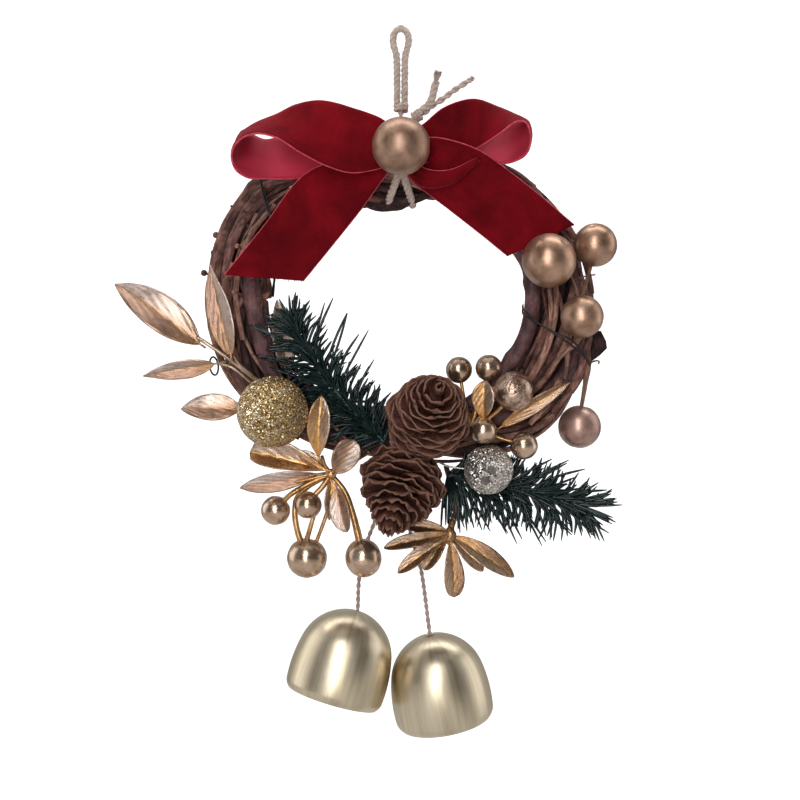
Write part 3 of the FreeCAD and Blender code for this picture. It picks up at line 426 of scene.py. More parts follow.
class Part:
    """Points in mm and faces, gathered into one mesh."""

    def __init__(self):
        self.points, self.faces, self.uvs, self.slots = [], [], [], []

    def face(self, ids, uvs, slot=0):
        self.faces.append(tuple(ids))
        self.uvs.append(tuple(uvs))
        self.slots.append(slot)

    def make(self, name, materials, node, body="wreath", replaces=True):
        mesh = bpy.data.meshes.new(name)
        mesh.from_pydata([tuple(point * MM) for point in self.points], [], self.faces)
        flat = [value for uvs in self.uvs for uv in uvs for value in uv]
        mesh.uv_layers.new(name="UVMap").data.foreach_set("uv", flat)
        mesh.polygons.foreach_set("material_index", self.slots)
        mesh.polygons.foreach_set("use_smooth", [True] * len(self.faces))
        for material in materials:
            mesh.materials.append(MATERIALS[material])
        mesh.update()
        place(name, mesh, node, body, replaces)


def noise_at(x, y, z):
    return noise.noise(Vector((x, y, z)))


def hump(x, width, power=2):
    """1 at x = 0, falling to nothing over a few widths."""
    return exp(-(x / width) ** power)


def square_to(direction, axis):
    """Unit vector: the part of a direction at right angles to a unit axis."""
    direction = Vector(direction)
    return (direction - axis * direction.dot(axis)).normalized()


def angle_between(unit, direction):
    return acos(max(-1, min(1, unit.dot(Vector(direction).normalized()))))


def distances(path, closed=False):
    """Running length at each point, and back at the first point if closed."""
    ends = path + path[:1] if closed else path
    along = [0.0]
    for here, there in zip(ends, ends[1:]):
        along.append(along[-1] + (there - here).length)
    return along


def between(start, end, from_t, to_t, t):
    return start * ((to_t - t) / (to_t - from_t)) + end * ((t - from_t) / (to_t - from_t))


def spline(points, step=1.0, closed=False):
    """A smooth (centripetal) curve through the points, sampled about every step mm."""
    points = [Vector(point) for point in points]
    count = len(points)
    path = []
    for i in range(count if closed else count - 1):
        start, end = points[i], points[(i + 1) % count]
        before = points[i - 1] if closed or i > 0 else start * 2 - end
        after = points[(i + 2) % count] if closed or i + 2 < count else end * 2 - start
        control = (before, start, end, after)
        knots = [0.0]
        for here, there in zip(control, control[1:]):
            knots.append(knots[-1] + max(1e-6, (there - here).length) ** 0.5)
        steps = max(2, int((end - start).length / step))
        for j in range(steps):
            t = knots[1] + (knots[2] - knots[1]) * j / steps
            thirds = [between(control[k], control[k + 1], knots[k], knots[k + 1], t)
                      for k in range(3)]
            halves = [between(thirds[k], thirds[k + 1], knots[k], knots[k + 2], t)
                      for k in range(2)]
            path.append(between(*halves, knots[1], knots[2], t))
    if not closed:
        path.append(points[-1].copy())
    return path


def resample(path, count, closed=False):
    """The same curve as evenly spaced points."""
    along = distances(path, closed)
    source = path + path[:1] if closed else path
    points = []
    j = 0
    for i in range(count):
        s = along[-1] * i / (count if closed else count - 1)
        while j < len(along) - 2 and along[j + 1] < s:
            j += 1
        gap = along[j + 1] - along[j]
        points.append(source[j].lerp(source[j + 1], 0 if gap < 1e-9 else (s - along[j]) / gap))
    return points


def frames(path, closed=False):
    """Tangent, normal and side at each point, carried along without twist."""
    count = len(path)
    tangents = []
    for i in range(count):
        before = path[i - 1] if i > 0 or closed else path[i]
        after = path[(i + 1) % count] if i < count - 1 or closed else path[i]
        tangents.append((after - before).normalized())
    normal = square_to(UP_Y if abs(tangents[0].y) < 0.9 else (1, 0, 0), tangents[0])
    result = []
    for tangent in tangents:
        normal = square_to(normal, tangent)
        result.append((tangent, normal, tangent.cross(normal)))
    if closed:
        # Spread the leftover turn round the loop.
        first_tangent, first_normal, first_side = result[0]
        last = square_to(normal, first_tangent)
        turn = atan2(last.dot(first_side), last.dot(first_normal))
        for i, (tangent, normal, side) in enumerate(result):
            angle = -turn * i / count
            result[i] = (tangent, normal * cos(angle) + side * sin(angle),
                         side * cos(angle) - normal * sin(angle))
    return result


def tube(part, path, radius, sides=8, closed=False, slot=0, shape=None, start_v=0.0):
    """A round rod. radius is a number or f(index, length); shape(length, angle) scales it.
    UV x is round the rod, y its length in cm."""
    axes = frames(path, closed)
    along = distances(path, closed)
    count = len(path)
    sizes = [radius(i, along[i]) if callable(radius) else radius for i in range(count)]
    first = len(part.points)
    for i, point in enumerate(path):
        normal, side = axes[i][1:]
        for k in range(sides):
            angle = tau * k / sides
            reach = sizes[i] * (shape(along[i], angle) if shape else 1.0)
            part.points.append(point + normal * (reach * cos(angle)) + side * (reach * sin(angle)))
    for i in range(count if closed else count - 1):
        here, there = first + i * sides, first + (i + 1) % count * sides
        v_here, v_there = along[i] / 10 + start_v, along[i + 1] / 10 + start_v
        for k in range(sides):
            after = (k + 1) % sides
            left, right = k / sides, (k + 1) / sides
            part.face((here + k, there + k, there + after, here + after),
                      ((left, v_here), (left, v_there), (right, v_there), (right, v_here)), slot)
    if closed:
        return
    for i, outward in ((0, -1), (count - 1, 1)):
        ring = first + i * sides
        tip = len(part.points)
        part.points.append(path[i] + axes[i][0] * outward * sizes[i] * 0.35)
        for k in range(sides):
            after = (k + 1) % sides
            pair = (ring + k, ring + after) if outward > 0 else (ring + after, ring + k)
            part.face((*pair, tip), ((0.5, along[i] / 10),) * 3, slot)


def rope(part, path, radius, plies=3, pitch=7.0, sides=7, closed=False, seed=0):
    """Twisted plies about a centre line; radius is the rope's outer radius."""
    path = [Vector(point) for point in path]
    axes = frames(path, closed)
    ply = radius * (0.50 if plies == 3 else 0.54)
    along = distances(path, closed)
    total = along[-1]
    turns = total / pitch
    if closed:
        turns = max(1, round(turns))
    for k in range(plies):
        strand = []
        for point, (_, normal, side), s in zip(path, axes, along):
            angle = tau * (k / plies + turns * s / total)
            wobble = 1 + 0.18 * noise_at(s * 0.25, k * 7.1 + seed, 0)
            spoke = normal * cos(angle) + side * sin(angle)
            strand.append(point + spoke * (radius - ply) * wobble)
        tube(part, strand, lambda i, s: ply * (1 + 0.12 * noise_at(s * 0.9, k * 3.3, seed)),
             sides, closed,
             shape=lambda s, a: 1 + 0.10 * noise_at(s * 0.8, 2 * cos(a), 2 * sin(a) + seed))


def hairs(part, path, radius, count, length, seed, thick=0.05):
    """Loose fibres standing off a rope; length is a range."""
    rng = random.Random(seed)
    axes = frames(path)
    for _ in range(count):
        i = rng.randrange(len(path))
        tangent, normal, side = axes[i]
        angle = rng.uniform(0, tau)
        outward = normal * cos(angle) + side * sin(angle)
        size = rng.uniform(*length)
        lean = (outward + tangent * rng.uniform(-1.6, 1.6) * 0.8).normalized()
        sway = outward.cross(tangent) * rng.uniform(-0.8, 0.8)
        root = path[i] + outward * radius * 0.75
        middle = root + lean * size * 0.5 + sway * size * 0.15
        tip = root + lean * size * 0.85 + sway * size * 0.5 + outward * size * 0.1
        tube(part, [root, root.lerp(middle, 0.5), middle, tip],
             lambda j, s: thick * (1 - 0.2 * j), 3)


def coil(start, across, side, climb, turns, count, swell=lambda u: 1.0):
    """A helix; across and side carry its radii, swell(u) scales them along it."""
    path = []
    for i in range(count):
        u = i / (count - 1)
        angle = tau * turns * u
        spoke = Vector(across) * cos(angle) + Vector(side) * sin(angle)
        path.append(start + spoke * swell(u) + Vector(climb) * u)
    return path


def sheet(part, rows, thick, slots=(0, 1, 2), flip=False, unit_uv=False):
    """A thick sheet from a grid of points. slots: face, back, edge. UVs in cm unless unit."""
    count, wide = len(rows), len(rows[0])
    normals = []
    for i in range(count):
        for j in range(wide):
            down = rows[min(count - 1, i + 1)][j] - rows[max(0, i - 1)][j]
            over = rows[i][min(wide - 1, j + 1)] - rows[i][max(0, j - 1)]
            normal = down.cross(over)
            if normal.length < 1e-9:
                normal = Vector((0, -1, 0))
            normal.normalize()
            normals.append(-normal if flip else normal)
    along = distances([row[wide // 2] for row in rows])
    width = max(1e-6, distances(rows[count // 2])[-1])

    def uv_at(i, j):
        if unit_uv:
            return (j / (wide - 1), i / (count - 1))
        return (j / (wide - 1) * width / 10, along[i] / 10)

    flat = [point for row in rows for point in row]
    face = len(part.points)
    part.points += [point + normal * thick * 0.5 for point, normal in zip(flat, normals)]
    back = len(part.points)
    part.points += [point - normal * thick * 0.5 for point, normal in zip(flat, normals)]
    for i in range(count - 1):
        for j in range(wide - 1):
            cells = [(i, j), (i + 1, j), (i + 1, j + 1), (i, j + 1)]
            for start, slot, turned in ((face, slots[0], flip), (back, slots[1], not flip)):
                ordered = cells[::-1] if turned else cells
                part.face([start + p * wide + q for p, q in ordered],
                          [uv_at(*cell) for cell in ordered], slot)
    loop = ([(i, 0) for i in range(count)] + [(count - 1, j) for j in range(1, wide)]
            + [(i, wide - 1) for i in range(count - 2, -1, -1)]
            + [(0, j) for j in range(wide - 2, 0, -1)])
    order = -1 if flip else 1
    for here, there in zip(loop, loop[1:] + loop[:1]):
        near, far = here[0] * wide + here[1], there[0] * wide + there[1]
        uvs = (uv_at(*here), uv_at(*there), uv_at(*there), uv_at(*here))
        part.face((face + near, back + near, back + far, face + far)[::order],
                  uvs[::order], slots[2])


def lathe(part, profile, origin, axis, segments=96, closed=True):
    """Turn a profile of (radius, height) about an axis. UV x round, y along."""
    axis = Vector(axis).normalized()
    across = square_to((1, 0, 0) if abs(axis.x) < 0.9 else UP_Y, axis)
    side = axis.cross(across)
    along = [0.0]
    for here, there in zip(profile, profile[1:]):
        along.append(along[-1] + hypot(there[0] - here[0], there[1] - here[1]))
    start = len(part.points)
    count = len(profile)
    for radius, height in profile:
        for k in range(segments):
            angle = tau * k / segments
            spoke = across * cos(angle) + side * sin(angle)
            part.points.append(Vector(origin) + axis * height + spoke * radius)
    for i in range(count if closed else count - 1):
        j = (i + 1) % count
        v_here, v_there = along[i] / along[-1], (along[j] / along[-1] if j else 1.0)
        here, there = start + i * segments, start + j * segments
        for k in range(segments):
            after = (k + 1) % segments
            left, right = k / segments, (k + 1) / segments
            part.face((here + k, here + after, there + after, there + k),
                      ((left, v_here), (right, v_here), (right, v_there), (left, v_there)))


def orb(part, centre, radius, pole, slot=0, segments=56, rings=36, dimple=0.10, groove=None,
        lump=0.006, seed=0, stretch=1.0):
    """A moulded ball: dimpled at its pole, slightly out of round; groove is a plane normal."""
    centre = Vector(centre)
    axis = Vector(pole).normalized()
    across = square_to((0.3, 1, 0.2), axis)
    side = axis.cross(across)

    def point_at(ring, k):
        down, turn = pi * ring / rings, tau * k / segments
        unit = axis * cos(down) + (across * cos(turn) + side * sin(turn)) * sin(down)
        reach = radius * (1 + lump * noise_at(*(unit * 2.1 + Vector((seed, 0, 0)))))
        reach -= radius * dimple * hump(down, 0.16)
        reach -= radius * 0.05 * hump(pi - down, 0.10)
        if groove is not None:
            reach -= radius * 0.022 * hump(unit.dot(Vector(groove).normalized()), 0.022)
        offset = unit * reach
        return centre + offset + axis * (offset.dot(axis) * (stretch - 1))

    top = len(part.points)
    part.points.append(point_at(0, 0))
    for i in range(1, rings):
        part.points += [point_at(i, k) for k in range(segments)]
    bottom = len(part.points)
    part.points.append(point_at(rings, 0))
    last = top + 1 + (rings - 2) * segments
    for k in range(segments):
        after = (k + 1) % segments
        left, right = k / segments, (k + 1) / segments
        part.face((top, top + 1 + k, top + 1 + after),
                  ((left, 0), (left, 1 / rings), (right, 1 / rings)), slot)
        part.face((bottom, last + after, last + k),
                  ((left, 1), (right, 1 - 1 / rings), (left, 1 - 1 / rings)), slot)
    for i in range(rings - 2):
        upper = top + 1 + i * segments
        lower = upper + segments
        high, low = (i + 1) / rings, (i + 2) / rings
        for k in range(segments):
            after = (k + 1) % segments
            left, right = k / segments, (k + 1) / segments
            part.face((upper + k, lower + k, lower + after, upper + after),
                      ((left, high), (left, low), (right, low), (right, high)), slot)


def loose_parts(node):
    """The separate solids of a CAD node: (centre, half size) in mm for each."""
    thing = next(item for item in bpy.data.objects
                 if item.type == "MESH" and item.name.split(".")[0] == node)
    mesh = thing.data
    parent = list(range(len(mesh.vertices)))

    def find(i):
        while parent[i] != i:
            parent[i] = parent[parent[i]]
            i = parent[i]
        return i

    # Vertices in the same place or on one edge belong together.
    first_at = {}
    for i, vertex in enumerate(mesh.vertices):
        twin = first_at.setdefault(tuple(round(x, 6) for x in vertex.co), i)
        parent[find(i)] = find(twin)
    for edge in mesh.edges:
        parent[find(edge.vertices[0])] = find(edge.vertices[1])
    groups = {}
    for i, vertex in enumerate(mesh.vertices):
        groups.setdefault(find(i), []).append(thing.matrix_world @ vertex.co)
    solids = []
    for points in groups.values():
        low = Vector([min(column) for column in zip(*points)]) / MM
        high = Vector([max(column) for column in zip(*points)]) / MM
        solids.append(((low + high) * 0.5, (high - low) * 0.5))
    return solids


# ------------------------------------------------------------------ vine ring
# Centre line of the ring (x, z), from the left side down, round the right and over the top.
RING_POINTS = [
    (-61.14, -101.9), (-58.48, -117.1), (-52.78, -129.26), (-42.14, -140.66),
    (-26.94, -148.26), (-9.84, -151.87), (4.22, -151.87), (24.36, -152.06),
    (39.56, -147.5), (49.82, -141.04), (57.8, -126.6), (61.22, -107.6),
    (59.7, -90.5), (54, -78.34), (43.74, -68.08), (26.26, -57.44),
    (12.58, -53.83), (0.8, -53.26), (-12.5, -53.83), (-34.54, -58.96),
    (-49.74, -70.36), (-58.48, -84.8)]
RING_STEPS = 720
RING_MID = Vector((0.8, 0, -103))
ring_line = resample(spline([(x, 0, z) for x, z in RING_POINTS], 1.0, True), RING_STEPS, True)
RING_LENGTH = distances(ring_line, True)[-1]


def ring_frame(lap):
    """Point, tangent and outward direction a fraction of a lap round the ring."""
    place_on = (lap % 1.0) * RING_STEPS
    i = int(place_on)
    point = ring_line[i].lerp(ring_line[(i + 1) % RING_STEPS], place_on - i)
    tangent = (ring_line[(i + 2) % RING_STEPS] - ring_line[i - 2]).normalized()
    return point, tangent, UP_Y.cross(tangent).normalized()


def lap_at(angle):
    """Lap fraction at an angle in degrees about the ring's middle, from +X towards +Z."""
    def miss(i):
        spoke = ring_line[i] - RING_MID
        return abs((degrees(atan2(spoke.z, spoke.x)) - angle + 180) % 360 - 180)
    return min(range(RING_STEPS), key=miss) / RING_STEPS


def lap_span(low, high):
    """Start and length, in laps, of the stretch between two angles."""
    start = lap_at(low)
    return start, (lap_at(high) - start) % 1.0


def cane_path(start, lap, offset, phase, turns, wobble, seed, step=2.2):
    """A path winding about the ring line at an offset in mm, from a phase in degrees."""
    count = max(8, int(abs(lap) * RING_LENGTH / step))
    path = []
    for i in range(count + 1):
        here = start + lap * i / count
        s = here * RING_LENGTH
        reach = offset + wobble * noise_at(s * 0.03, seed, 0.5)
        drift = wobble * 7.0 / max(1.0, offset) * 6 * noise_at(s * 0.022, seed, 9.5)
        angle = radians(phase + drift) + turns * tau * (here % 1.0)
        point, _, outward = ring_frame(here)
        path.append(point + outward * (reach * cos(angle)) + UP_Y * (reach * sin(angle)))
    return path


def cane(part, path, radius, seed, slot, sides=12, knots=True, taper=(1.0, 0.85)):
    """A cane: swollen knots every few centimetres, ribs and a lumpy section."""
    rng = random.Random(seed)
    total = distances(path)[-1]
    spots = []
    s = rng.uniform(6, 30)
    while knots and s < total:
        spots.append(s)
        s += rng.uniform(26, 52)

    def radius_at(i, s):
        size = radius * (taper[0] + (taper[1] - taper[0]) * s / total)
        size *= 1 + 0.10 * noise_at(s * 0.05, seed, 3.0)
        for spot in spots:
            size += radius * 0.20 * hump(s - spot, 2.2)
        return size

    def shape(s, angle):
        lumps = 0.085 * noise_at(s * 0.10, 1.9 * cos(angle), 1.9 * sin(angle) + seed)
        ribs = 0.04 * cos(5 * angle + s * 0.03 + seed) * noise_at(s * 0.2, seed, 1)
        return 1 + lumps + ribs

    tube(part, path, radius_at, sides, slot=slot, shape=shape, start_v=seed * 1.7)


rng = random.Random(77)
part = Part()
cane(part, cane_path(0.30, 0.985, offset=0.0, phase=0, turns=0, wobble=0.3, seed=1), 3.5, 1, DARK)
part.make("vine_core_bark", BARKS, "vine_core")

# Six thick canes round the core: two are single stems, the others strands of thinner canes.
for i in range(6):
    part = Part()
    base = cane_path(0.07 + 0.161 * i, 0.975 - 0.004 * i, offset=7.1, phase=60 * i, turns=2,
                     wobble=0.25, seed=10 + i, step=2.0)
    if i in (0, 3):
        cane(part, base, 3.15, 20 + i, PLUM if i == 0 else BROWN, 16)
    else:
        axes = frames(base)
        count, offset, radius = (3, 1.72, 1.52) if i in (1, 4) else (2, 1.60, 1.72)
        twist = rng.uniform(1.2, 2.2) * (1 if i % 2 else -1)
        for k in range(count):
            path = []
            for j, (point, (_, normal, side)) in enumerate(zip(base, axes)):
                angle = tau * (k / count + twist * j / len(base)) + 0.5 * noise_at(j * 0.05, i, k)
                path.append(point + (normal * cos(angle) + side * sin(angle)) * offset)
            cane(part, path, radius * rng.uniform(0.88, 1.08), 40 + i * 5 + k,
                 rng.choice([TAN, BROWN, BROWN, DARK, DARK]), 10)
    part.make("vine_cane_%d_bark" % (i + 1), BARKS, "vine_cane_%d" % (i + 1))

# Thin canes on the outside: (from degrees, to degrees, phase).
OUTER_CANES = [(-22, 82, 20), (98, 203, 80), (-14, 84, 200), (96, 196, 260)]
for number, (low, high, phase) in enumerate(OUTER_CANES, 1):
    part = Part()
    path = cane_path(*lap_span(low, high), offset=11.8, phase=phase, turns=3, wobble=0.3,
                     seed=70 + number)
    cane(part, path, 1.35, 80 + number, BROWN, 10)
    part.make("vine_outer_%d_bark" % number, BARKS, "vine_outer_%d" % number)

# Random thin runners over the bundle, clear of the twine and cord loops.
LOOP_GAPS = ((84, 96), (260, 274), (-100, -86))  # degrees
runners = Part()
runs = []
for _ in range(96):
    span = rng.uniform(22, 92)
    low = rng.uniform(-86, 262)
    high = low + span
    if any(low < gap_end and high > gap_start for gap_start, gap_end in LOOP_GAPS):
        continue
    runs.append((low, high, rng.uniform(0, 360), rng.uniform(-1.5, 3.6),
                 rng.uniform(0.55, 1.25), rng.uniform(9.6, 12.4)))
for k, (low, high, phase, turns, radius, offset) in enumerate(runs):
    if 205 < ((low + high) / 2 % 360) < 335:
        offset = min(offset, 10.9)
    start, lap = lap_span(low, high)
    if lap > 0.5:
        continue
    path = cane_path(start, lap, offset, phase, turns, wobble=0.45, seed=200 + k, step=2.0)
    cane(runners, path, radius, 300 + k, rng.choice([TAN, TAN, TAN, BROWN, BROWN, DARK]), 7,
         taper=(1.0, 0.6))


def lay_stems(stems, first_seed, sides, taper):
    """Canes through given points: rows of (bark, radius, points)."""
    for k, (slot, radius, points) in enumerate(stems):
        cane(runners, spline(points, 1.6), radius, first_seed + k, slot, sides, taper=taper)


INNER_LEFT_STEM = [(PLUM, 3.2, [
    (-56.03, -7, -78.94), (-56.55, -10, -88.19), (-56.05, -11.6, -100.64),
    (-53, -12.4, -115.63), (-49.29, -12, -127.2), (-44.18, -10, -136.15),
    (-36.47, -7, -142.91)])]
INNER_RIGHT_STEM = [(PLUM, 3.1, [
    (44.88, -6, -78.85), (48.44, -9, -90.37), (49.43, -11, -102.48), (46.37, -12, -116.73),
    (40.07, -11, -127.18), (32.68, -9, -136.15), (26, -7, -141.41)])]
SIDE_STEMS = [
    (TAN, 1.0, [(57.87, -13, -95.87), (57.8, -13.8, -106.36), (55.18, -14, -119.41),
                (50.41, -13, -129.45), (45.31, -11, -138.4)]),
    (TAN, 0.9, [(55.26, -13, -96.99), (55.92, -14, -107.11), (53.69, -14, -120.52),
                (47.46, -12.4, -132.43)]),
    (TAN, 0.9, [(68.61, -13.8, -113.81), (64.77, -15, -119.06), (59.58, -14.8, -123.52),
                (54.88, -13, -130.94)]),
    (BROWN, 1.5, [(70.96, -9, -102.38), (69.96, -11.5, -119.33), (64.68, -12, -134.3),
                  (56.62, -10, -144.4)]),
    (TAN, 1.3, [(59.4, -12.5, -132.43), (54.96, -12, -140.65), (48.37, -10, -148.89)]),
    (TAN, 1.2, [(-63.49, -12, -88.33), (-66.07, -12.4, -98.82), (-64.93, -12.6, -113.77),
                (-60.13, -12, -127.2)]),
    (BROWN, 1.6, [(-52.2, -8, -64.74), (-60.18, -11.4, -75.57), (-64.61, -12, -88.33),
                  (-66.95, -11, -102.48)]),
    (TAN, 1.3, [(-47.56, -10, -66.45), (-55.6, -12.6, -77.18), (-60.04, -13, -88.41),
                (-61.53, -13, -102.59), (-58.92, -13, -117.51)]),
    (DARK, 1.1, [(-41.68, -8, -60.99), (-51.94, -11.6, -70.36), (-57.82, -12.8, -80.18)])]
TOP_STEMS = [
    (DARK, 2.4, [(-18.63, 2, -56.83), (-14.74, -2, -63.35), (-8.66, -3.5, -66.54),
                 (-1.86, -2, -66.01), (4.23, 1, -63.41)]),
    (DARK, 2.2, [(-13.26, 0, -56.3), (-7.9, -4, -62.81), (-1.1, -4, -64.7),
                 (7.23, -3, -63.08), (13.34, 0, -59.34)]),
    (DARK, 2.6, [(-16.39, 4, -54.31), (-8.69, -1, -59.45), (0.42, -2, -61.46),
                 (9.57, 2, -59.12)])]
OUTER_LEFT_STEMS = [
    (BROWN, 2.3, [
        (-49.6, -2, -55.02), (-54.76, -4, -58.65), (-58.83, -5, -63.67), (-62.89, -6, -69.81),
        (-66.23, -6.6, -76.27), (-68.26, -7, -83.45), (-69.2, -7, -91.73), (-69.2, -7, -101.14),
        (-67.7, -7, -111.68), (-64.69, -7, -121.08), (-60.26, -6, -130.48)]),
    (BROWN, 1.7, [
        (-47.13, -5, -57.64), (-52.2, -8, -61.74), (-56.97, -9.4, -67.52),
        (-61.01, -10.4, -74.74), (-63.95, -11, -82.65), (-65.08, -11, -92),
        (-64.33, -11, -104.35), (-61.05, -10, -116.67)])]
# A curled strip of bark on the right, three points to a row.
BARK_FLAP = [
    [(69.46, -9, -115.13), (71.88, -11, -113.71), (74.81, -11.6, -114.1)],
    [(70.15, -9.6, -118.15), (73.29, -11.8, -116.73), (76.66, -11.8, -117.85)],
    [(70.11, -10, -121.16), (73.65, -12, -119.35), (77.06, -11.5, -120.46)],
    [(68.98, -10, -124.16), (72.17, -11.8, -122.71), (74.48, -11.2, -123.07)],
    [(68.61, -10, -126.41), (70.72, -11.4, -125.69), (72.25, -11, -124.56)]]
lay_stems(INNER_LEFT_STEM, 501, 14, (1.0, 0.9))
lay_stems(INNER_RIGHT_STEM, 502, 14, (1.0, 0.95))
lay_stems(SIDE_STEMS, 520, 9, (1.0, 0.8))
sheet(runners, [[Vector(point) for point in row] for row in BARK_FLAP], 0.5, (DARK,) * 3,
      unit_uv=True)
lay_stems(TOP_STEMS, 560, 11, (0.9, 0.8))
lay_stems(OUTER_LEFT_STEMS, 570, 12, (1.0, 0.9))

# Buds on the left, each with a short stalk: (bark, radius, place).
BUDS = [(BROWN, 1.25, (-69.97, -3, -77.46)), (BROWN, 1.25, (-70.63, -4, -84.35)),
        (BROWN, 1.25, (-74.61, -2, -91.77)), (TAN, 0.95, (-61.08, -14, -82.52)),
        (TAN, 0.95, (-62.21, -13.8, -99.65)), (TAN, 0.95, (-59.01, -12, -73.39))]
for k, (slot, radius, spot) in enumerate(BUDS):
    spot = Vector(spot)
    inward = RING_MID - spot
    inward.y = 0
    inward.normalize()
    orb(runners, spot, radius, -inward, slot, 12, 8, dimple=0.35, lump=0.12, seed=k)
    tube(runners, [spot + inward * 1.0, spot + inward * 2.0 + Vector((0, 0.6, -0.6)),
                   spot + inward * 3.4 + Vector((0, 1.2, -1.2))], 0.5, 6, slot=BROWN)

# Small curled tendrils on the front.
for _ in range(9):
    angle = rng.choice([rng.uniform(100, 200), rng.uniform(-35, 70)])
    point, tangent, outward = ring_frame(lap_at(angle))
    root = point + outward * rng.uniform(4, 12) - UP_Y * rng.uniform(11.0, 13.6)
    lead = (tangent * rng.uniform(-1, 1) + outward * rng.uniform(-0.5, 1)).normalized()
    curl = [root + UP_Y * 2, root + lead * 2.0 - UP_Y * 0.6,
            root + lead * 4.2 + outward * 0.9 - UP_Y * 0.8,
            root + lead * 4.8 + outward * 2.4, root + lead * 3.6 + outward * 3.0]
    tube(runners, spline(curl, 0.7), lambda i, s: 0.42 - 0.012 * s, 6,
         slot=rng.choice([TAN, BROWN]))
runners.make("vine_runners", BARKS, "vine_tendrils")

# ------------------------------------------------------------------ hanger
# Right half of the hanging loop (x, z), up to its top.
LOOP_HALF = [(1.45, -28.5), (1.45, -23), (1.5, -15), (1.7, -9), (2.9, -4.4), (2.5, -0.5),
             (0.0, 1.35)]
part = Part()
path = spline([(x, 0, z) for x, z in LOOP_HALF] + [(-x, 0, z) for x, z in LOOP_HALF[-2::-1]],
              0.55)
rope(part, path, 1.38, 3, 6.2, 8, seed=3)
hairs(part, path, 1.38, 420, length=(0.9, 2.4), seed=5)
whipping = coil(Vector((0, 0, -30)), (2.05, 0, 0), (0, 1.75, 0), (0, 0, 2.6), turns=2.6, count=60)
rope(part, whipping, 0.95, 3, 4.0, 6, seed=9)
hairs(part, whipping, 0.9, 40, length=(0.8, 1.8), seed=6)
rope(part, [(0, 0, -35.6), (0, 0, -33), (0, 0, -31), (0, 0, -29)], 1.2, 3, 4.0, 7, seed=12)
part.make("hanging_loop_twine", ["jute"], "hanging_loop", "hanger")

# A knot under the loop and a smaller one up to its right.
main_knot = Vector((0, 0, -36.05))
side_knot = Vector((6.49, -0.6, -31.88))
part = Part()
main_coil = coil(main_knot + Vector((0, 0, -1.9)), (2.35, 0, 0), (0, 2.25, 0), (0, 0, 3.7),
                 turns=3.1, count=90)
rope(part, main_coil, 1.0, 3, 4.2, 6, seed=21)
bridge = spline([main_knot + Vector((1.6, -0.4, 0.2)),
                 main_knot.lerp(side_knot, 0.5) + Vector((0.2, -0.5, -0.5)),
                 side_knot + Vector((-0.6, -0.2, -0.6))], 0.6)
rope(part, bridge, 1.35, 3, 5, 7, seed=22)
axis = (side_knot - main_knot).normalized()
across = axis.cross(UP_Y).normalized()
side_coil = coil(side_knot - axis * 1.5, across * 1.5, axis.cross(across) * 1.5, axis * 2.8,
                 turns=2.3, count=70)
rope(part, side_coil, 0.95, 3, 4.2, 6, seed=23)
rope(part, [side_knot - axis * 2.2, side_knot, side_knot + axis * 1.6], 1.2, 3, 5, 7, seed=24)
hairs(part, main_coil, 1.0, 60, length=(0.8, 2.0), seed=8)
hairs(part, side_coil, 1.0, 70, length=(0.8, 2.0), seed=9)
part.make("hanger_knot_twine", ["jute"], "hanger_knot", "knot")

part = Part()
short_tail = spline([side_knot + Vector((1.0, -0.3, 1.4)), (11.06, 0.2, -27.01),
                     (12.59, 0.8, -21.97), (13.35, 0.7, -18.94)], 0.6)
long_tail = spline([side_knot + Vector((2.0, 0.4, 0.6)), (11.84, 1.2, -27.99),
                    (16.41, 1.4, -24.92), (20.99, 1.6, -21.46), (26.31, 1.3, -18.08)], 0.6)
rope(part, short_tail, 1.6, 3, 7.5, 8, seed=31)
rope(part, long_tail, 1.25, 2, 7, 8, seed=32)
hairs(part, short_tail, 1.2, 70, length=(0.8, 2.2), seed=33)
hairs(part, long_tail, 1.1, 80, length=(0.8, 2.2), seed=34)
# Frayed ends: (tail, threads, spread, thread length range).
for path, count, spread, length in ((short_tail, 80, 1.0, (2.2, 4.6)),
                                    (long_tail, 26, 0.7, (1.0, 2.2))):
    end = path[-1]
    lead = (end - path[-4]).normalized()
    for _ in range(count):
        splay = Vector((rng.uniform(-1, 1), rng.uniform(-1, 1), rng.uniform(-1, 1)))
        splay = (splay - lead * splay.dot(lead)) * spread
        size = rng.uniform(*length)
        tube(part, [end - lead * 1.0 + splay * 0.5, end + lead * size * 0.5 + splay * 1.0,
                    end + lead * size + splay * rng.uniform(0.9, 1.8)],
             lambda i, s: 0.13 - 0.02 * i, 4)
part.make("knot_tails_twine", ["jute"], "knot_tails", "knot")

# Two loops round the ring that part towards the bottom: (direction, reach, seed).
centre, half = node_box("hanger_wrap")
wrap_radius = half.z - 1.35
part = Part()
for way, reach, seed in ((-1, 5.0, 41), (1, 4.4, 43)):
    path = []
    for i in range(110):
        angle = tau * i / 110
        down = max(0.0, -cos(angle) - 0.10) / 0.90
        path.append(centre + Vector((way * (0.55 + (reach - 0.55) * down ** 1.1),
                                     wrap_radius * sin(angle), wrap_radius * cos(angle))))
    rope(part, path, 1.55, 3, 6.4, 8, True, seed=seed)
    hairs(part, path, 1.15, 140, length=(0.8, 2.4), seed=seed + 1)
part.make("hanger_wrap_twine", ["jute"], "hanger_wrap", "top_wrap")


# ------------------------------------------------------------------ bow
def gathered(strength, width, both_ends=False):
    """How deep the pleats are, t of the way along a ribbon."""
    return lambda t: strength * (hump(t, width) + (hump(1 - t, width) if both_ends else 0))


